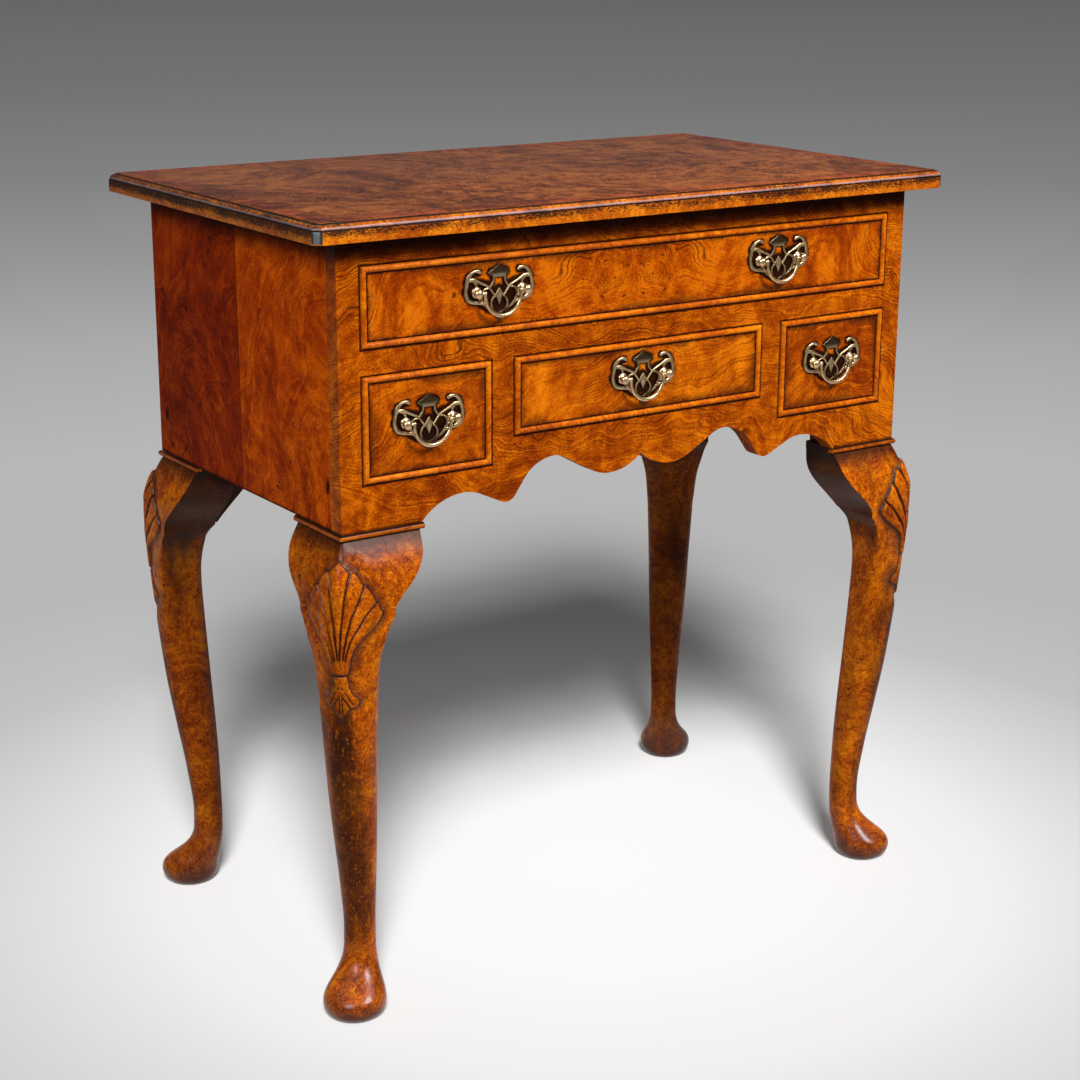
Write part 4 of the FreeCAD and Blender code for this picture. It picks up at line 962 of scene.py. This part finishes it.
def plateField(x, z):
    # distance inside the nearest strap, pad or flat piece, and the height of each over the face
    s = plate
    x = np.abs(x)
    field = np.full(x.shape, -1e9)
    height = np.zeros(x.shape)
    # flatter where the bail can reach it, hanging or swung right up
    low = 0.45 + 0.55 * smoothstep(-17.0, -11.0, z)
    low = low * (1 - 0.55 * smoothstep(14.0, 21.0, z) * smoothstep(19.0, 15.0, x))

    def add(depth, half, rise, crown):
        nonlocal field, height
        share = np.clip(depth / half, 0, 1)
        raised = rise + crown * low * np.sqrt(np.clip(1 - (1 - share) ** 2, 0, 1))
        height = np.where(depth > 0, np.maximum(height, raised), height)
        field = np.maximum(field, depth)
    for number, line in enumerate(s["straps"]):
        path = throughPoints(line, 70)
        away = np.hypot(x[..., None] - path[:, 0], z[..., None] - path[:, 1]) - path[:, 2] / 2
        nearest = away.argmin(-1)
        add(-np.take_along_axis(away, nearest[..., None], -1)[..., 0], path[nearest, 2] / 2, s["edge"],
            s["dome"] * (1.0 if number in (1, 4) else 0.85))
    for corners in (s["finial"], s["lozenge"], s["pendant"]):
        add(insidePolygon(x, z, corners), 2.6, s["edge"], s["dome"])
    add(s["pad"] - np.hypot(x - s["post"], z - s["rise"]), 2.4, s["edge"], s["dome"] * 0.6)
    sx, sz, r = s["stud"]
    add(r - np.hypot(x - sx, z - sz), r, s["edge"] + 0.6, r)
    return field, height


def plateMesh():
    # cells of a square grid that touch the plate; corners that lie outside are drawn in to its outline
    s = plate
    xs = np.arange(-38.5, 38.5 + s["cell"], s["cell"])
    zs = np.arange(-28.0, 28.0, s["cell"])
    xs -= xs.mean()
    x, z = np.meshgrid(xs, zs, indexing="ij")
    field, _ = plateField(x, z)
    corner = field > 0
    count = corner[:-1, :-1].astype(int) + corner[1:, :-1] + corner[:-1, 1:] + corner[1:, 1:]
    keep = count >= 2
    h = 0.02
    for _ in range(3):
        gx = (plateField(x + h, z)[0] - plateField(x - h, z)[0]) / (2 * h)
        gz = (plateField(x, z + h)[0] - plateField(x, z - h)[0]) / (2 * h)
        pull = np.where((field < 0) & (field > -2 * s["cell"]), -field, 0)
        x, z = x + gx * pull, z + gz * pull
        field, height = plateField(x, z)
    height = np.where(height > 0, height, s["edge"])
    shape = x.shape
    index = np.arange(x.size).reshape(shape)
    i, j = np.nonzero(keep)
    quads = np.stack([index[i, j], index[i + 1, j], index[i + 1, j + 1], index[i, j + 1]], -1)
    front = np.stack([x, s["face"] - height, z], -1).reshape(-1, 3)
    back = np.stack([x, np.full(shape, s["face"]), z], -1).reshape(-1, 3)
    # walls stand on the edges that only one kept cell has
    edges = np.concatenate([quads[:, [0, 1]], quads[:, [1, 2]], quads[:, [2, 3]], quads[:, [3, 0]]])
    _, place, uses = np.unique(np.sort(edges, 1), axis=0, return_index=True, return_counts=True)
    rim = edges[place[uses == 1]]
    total = x.size
    walls = np.stack([rim[:, 1], rim[:, 0], rim[:, 0] + total, rim[:, 1] + total], -1)
    faces = np.concatenate([quads, quads[:, ::-1] + total, walls])
    used, faces = np.unique(faces, return_inverse=True)
    points = np.concatenate([front, back])[used]
    relief = np.concatenate([(height - s["edge"]).ravel() / s["dome"], np.zeros(total)])[used]
    return points, faces.reshape(-1, 4), relief


def drawerOf(handle):
    return "drawer_long" if handle.startswith("long") else "drawer_" + handle


platePoints, plateFaces, plateRelief = plateMesh()
for name, (hx, hz) in handlePlaces.items():
    piece = makePiece("plate_" + name, platePoints + [hx, 0, hz], plateFaces, [castBrass], "handle_plate_" + name,
                      drawerOf(name), sharp=55)
    relief = piece.data.attributes.new("relief", "FLOAT", "POINT")
    relief.data.foreach_set("value", plateRelief.astype(np.float32))
print("plates made:", len(plateFaces), "faces each")


# posts: round rings carried along a path from the nut to a flattened knob that leans outwards
post = dict(place=24.5, rise=2.6, inside=18.0, nut=4.5, nutDeep=3.0, around=28,
            # (distance in front of the drawer's face, radius, outward lean)
            rings=[(-4.5, 1.7, 0), (-4.2, 2.0, 0), (1.0, 2.0, 0), (1.6, 2.0, 0), (1.62, 4.9, 0),
                   (2.1, 5.2, 0), (2.6, 4.9, 0), (3.0, 3.9, 0), (3.5, 2.9, 0.1), (4.1, 2.5, 0.3), (4.7, 2.9, 0.6),
                   (5.4, 3.7, 0.9), (6.3, 4.4, 1.3), (7.4, 4.8, 1.6), (8.6, 4.9, 1.8), (9.8, 4.5, 1.8),
                   (10.8, 3.6, 1.8), (11.5, 2.3, 1.8), (11.8, 1.0, 1.8)])


def postsMesh():
    s = post
    out, radius, lean = np.array(s["rings"], float).T
    out = np.where(out < 0, out - s["inside"], out)
    angle = np.linspace(0, 2 * np.pi, s["around"], endpoint=False)
    points, faces = [], []
    n = s["nut"]
    y0, y1 = frontY + s["inside"], frontY + s["inside"] + s["nutDeep"]
    for side in (-1, 1):
        base = sum(len(p) for p in points)
        # ring point = axis + radius * (cos a across, sin a up), narrower on the side of the bail
        across = np.cos(angle) * side
        slim = np.where((across < 0) & (out[:, None] > 4), 0.78, 1.0)
        x = side * (s["place"] + lean[:, None] + radius[:, None] * across * slim)
        z = s["rise"] + radius[:, None] * np.sin(angle) * np.where(out[:, None] > 4, 0.92, 1.0)
        y = frontY - out[:, None] + 0 * x
        points.append(np.stack([x, y, z], -1).reshape(-1, 3))
        faces += gridFaces(len(out), s["around"], base, flip=side < 0).tolist()
        last = base + len(out) * s["around"]
        caps = [list(range(base, base + s["around"]))[::-1], list(range(last - s["around"], last))]
        faces += caps if side > 0 else [loop[::-1] for loop in caps]
        base = last
        cx, cz = side * s["place"], s["rise"]
        corners = ((-n, -n), (n, -n), (n, n), (-n, n))
        points.append(np.array([(cx + dx, y, cz + dz) for y in (y0, y1) for dx, dz in corners]))
        faces += [[base + i for i in loop] for loop in ((0, 1, 2, 3), (7, 6, 5, 4), (0, 4, 5, 1), (1, 5, 6, 2),
                                                        (2, 6, 7, 3), (3, 7, 4, 0))]
    return np.concatenate(points), faces


postPoints, postFaces = postsMesh()
for name, (hx, hz) in handlePlaces.items():
    makePiece("posts_" + name, postPoints + [hx, 0, hz], postFaces, [turnedBrass], "handle_posts_" + name,
              drawerOf(name), sharp=40)
print("posts made")


# bails: a rod that swells towards its middle, carried along two arms and a half circle
bail = dict(pivotY=-199.0, half=19.4, rise=2.6, straight=2.4, thin=1.45, thick=1.95, ball=1.9, pintle=1.15,
            pintleEnd=24.42, around=20)


def bailMesh():
    s = bail
    low = s["rise"] - s["straight"]
    turn = np.linspace(np.pi, 2 * np.pi, 61)
    arc = np.stack([s["half"] * np.cos(turn), low + s["half"] * np.sin(turn)], -1)
    arms = np.linspace(s["rise"], low, 5)[:-1]
    path = np.concatenate([np.stack([np.full(4, -s["half"]), arms], -1), arc,
                           np.stack([np.full(4, s["half"]), arms[::-1]], -1)])
    run = np.gradient(path, axis=0)
    run /= np.linalg.norm(run, axis=1, keepdims=True)
    share = np.linspace(0, 1, len(path))
    radius = s["thin"] + (s["thick"] - s["thin"]) * np.sin(np.pi * share) ** 1.4
    angle = np.linspace(0, 2 * np.pi, s["around"], endpoint=False)
    # ring point = path point + radius * (cos a * across + sin a * forward)
    across = np.stack([-run[:, 1], run[:, 0]], -1)
    x = path[:, 0, None] + radius[:, None] * across[:, 0, None] * np.cos(angle)
    z = path[:, 1, None] + radius[:, None] * across[:, 1, None] * np.cos(angle)
    y = s["pivotY"] + radius[:, None] * np.sin(angle) + 0 * x
    points = [np.stack([x, y, z], -1).reshape(-1, 3)]
    rows, n = len(path), s["around"]
    faces = gridFaces(rows, n, flip=True).tolist()
    faces += [list(range(n)), list(range((rows - 1) * n, rows * n))[::-1]]
    # ball and pintle at the top of each arm: one profile turned about the pin's axis
    for side in (-1, 1):
        base = sum(len(p) for p in points)
        t = np.linspace(0.0, np.pi, 17)
        along = -s["ball"] * np.cos(t)
        out = s["ball"] * np.sin(t)
        cut = along < np.sqrt(s["ball"] ** 2 - s["pintle"] ** 2)
        pin = s["pintleEnd"] - s["half"]
        along = np.concatenate([along[cut], [np.sqrt(s["ball"] ** 2 - s["pintle"] ** 2), pin - 0.2, pin]])
        out = np.concatenate([np.maximum(out[cut], 0.02), [s["pintle"], s["pintle"], s["pintle"] - 0.2]])
        px = side * (s["half"] + along[:, None]) + 0 * angle
        py = s["pivotY"] + out[:, None] * np.cos(angle)
        pz = s["rise"] + out[:, None] * np.sin(angle)
        points.append(np.stack([px, py, pz], -1).reshape(-1, 3))
        count = len(along)
        faces += gridFaces(count, n, base, flip=side < 0).tolist()
        caps = [list(range(base, base + n))[::-1], list(range(base + (count - 1) * n, base + count * n))]
        faces += caps if side > 0 else [loop[::-1] for loop in caps]
    return np.concatenate(points), faces


bailPoints, bailFaces = bailMesh()
for name, (hx, hz) in handlePlaces.items():
    makePiece("bail_" + name, bailPoints + [hx, 0, hz], bailFaces, [turnedBrass], "handle_bail_" + name,
              "bail_" + name, sharp=45)
print("bails made")


# room: a pale floor that fades to grey far away; for the piece a key lamp from the front right, a softer one from the
# front left and a weak one behind; for the floor alone two wide suns, so that the shadow on it is a soft pool
# lamps as (heading, height, distance, size, power), suns as (heading, height, angle across, power)
room = dict(
    floorHalf=45.0, key=(-22.0, 42.0, 4.0, 1.2, 146.0), fill=(56.0, 36.0, 4.0, 1.4, 76.0),
    rear=(195.0, 30.0, 4.0, 2.0, 50.0), floorLights=((30.0, 38.5, 12.0, 2.0), (30.0, 46.0, 14.0, 1.95)),
    ambient=0.045, floorMiddle=(0.05, -0.035, 0.0), floorGlow=0.13,
    horizon=(0.128, 0.13, 0.135), overhead=(0.95, 0.97, 1.0), bounce=0.2,
    floor=[(0.0, 0.96), (0.25, 0.94), (0.45, 0.86), (0.6, 0.72), (0.85, 0.53), (1.2, 0.47), (2.0, 0.47), (3.0, 0.40),
           (4.3, 0.30), (6.4, 0.215), (10.5, 0.165), (22.0, 0.13)])


def lampPlace(heading, height, distance, target):
    # spherical: heading to the left of the front, height above the horizon
    h, e = radians(heading), radians(height)
    return target + distance * np.array([-np.sin(h) * np.cos(e), -np.cos(h) * np.cos(e), np.sin(e)])


def seenDirectly(tree):
    ray = addNode(tree, "LightPath").outputs
    return maths("MAXIMUM", ray["Is Camera Ray"], maths("MAXIMUM", ray["Is Glossy Ray"], ray["Is Transmission Ray"]))


def addLamp(name, kind, place, target, size, power, lit):
    data = bpy.data.lights.new(name, kind)
    data.energy = power
    if kind == "AREA":
        data.shape, data.size = "DISK", size
    else:
        data.angle = size
    lamp = bpy.data.objects.new(name, data)
    scene.collection.objects.link(lamp)
    way = Vector((target - place).tolist()).to_track_quat("-Z", "Y")
    lamp.matrix_world = Matrix.Translation(place.tolist()) @ way.to_matrix().to_4x4()
    lamp.light_linking.receiver_collection = bpy.data.collections.new("litBy_" + name)
    for piece in lit:
        lamp.light_linking.receiver_collection.objects.link(piece)


# pieces that a lamp doesn't light
unlit = {"rear": ("topBoard", "top_board"), "key": ("leg_carved_back_left", "leg_carved_back_right")}


def makeRoom():
    s = room
    half = s["floorHalf"] * 1000
    floor = makePiece("floor", [(-half, -half, 0), (half, -half, 0), (half, half, 0), (-half, half, 0)],
                      [[0, 1, 2, 3]], [])
    material = bpy.data.materials.new("floorPaint")
    material.use_nodes = True
    tree = material.node_tree
    tree.nodes.clear()
    place = addNode(tree, "TexCoord").outputs["Object"]
    away = addNode(tree, "VectorMath", {0: place, 1: s["floorMiddle"]}, operation="DISTANCE").outputs["Value"]
    # distance on a logarithmic scale, so that near and far share one ramp
    share = maths("DIVIDE", maths("LOGARITHM", plus(away, 0.2), 2.718282), 5.0)
    share = plus(share, 0.35)
    colour = toned(share, [(np.log(r + 0.2) / 5.0 + 0.35, (v, v, v)) for r, v in s["floor"]])
    paint = addNode(tree, "BsdfDiffuse", {"Color": blended(seenDirectly(tree), (s["bounce"],) * 3, colour)})
    glow = addNode(tree, "Emission", {"Color": colour, "Strength": times(seenDirectly(tree), s["floorGlow"])})
    both = addNode(tree, "AddShader", {0: paint.outputs[0], 1: glow.outputs[0]})
    addNode(tree, "OutputMaterial", {"Surface": both.outputs[0]})
    floor.data.materials.append(material)

    world = bpy.data.worlds.new("room")
    scene.world = world
    world.use_nodes = True
    tree = world.node_tree
    tree.nodes.clear()
    up = eachWay(addNode(tree, "TexCoord").outputs["Generated"])["Z"]
    seen = blended(stepped(up, 0.42, 0.85), s["horizon"], s["overhead"])
    sky = blended(seenDirectly(tree), (s["ambient"],) * 3, seen)
    back = addNode(tree, "Background", {"Color": sky, "Strength": 1.0})
    addNode(tree, "OutputWorld", {"Surface": back.outputs[0]})

    target = np.array([0.0, 0.0, 0.4])
    pieces = [piece for piece in scene.objects if piece.type == "MESH" and piece is not floor]
    for name in ("key", "fill", "rear"):
        heading, height, distance, size, power = s[name]
        lit = [piece for piece in pieces if piece.name not in unlit.get(name, ())]
        addLamp(name + "Lamp", "AREA", lampPlace(heading, height, distance, target), target, size, power, lit)
    for number, (heading, height, angle, power) in enumerate(s["floorLights"]):
        addLamp("floorLamp" + str(number), "SUN", lampPlace(heading, height, 5.0, target), target, radians(angle),
                power, [floor])


makeRoom()

camera = dict(place=(-1.2239, -1.8006, 1.0216), heading=-34.49, tilt=-16.601, roll=0.2939, lens=71.61)


def makeCamera():
    s = camera
    data = bpy.data.cameras.new("camera")
    data.lens, data.sensor_width, data.sensor_fit = s["lens"], 36.0, "HORIZONTAL"
    data.clip_end = 200.0
    eye = bpy.data.objects.new("camera", data)
    scene.collection.objects.link(eye)
    turns = [Matrix.Rotation(radians(angle), 4, axis) for angle, axis in
             ((s["heading"], "Z"), (90 + s["tilt"], "X"), (s["roll"], "Z"))]
    eye.matrix_world = Matrix.Translation(s["place"]) @ turns[0] @ turns[1] @ turns[2]
    scene.camera = eye


makeCamera()
print("room and camera made")
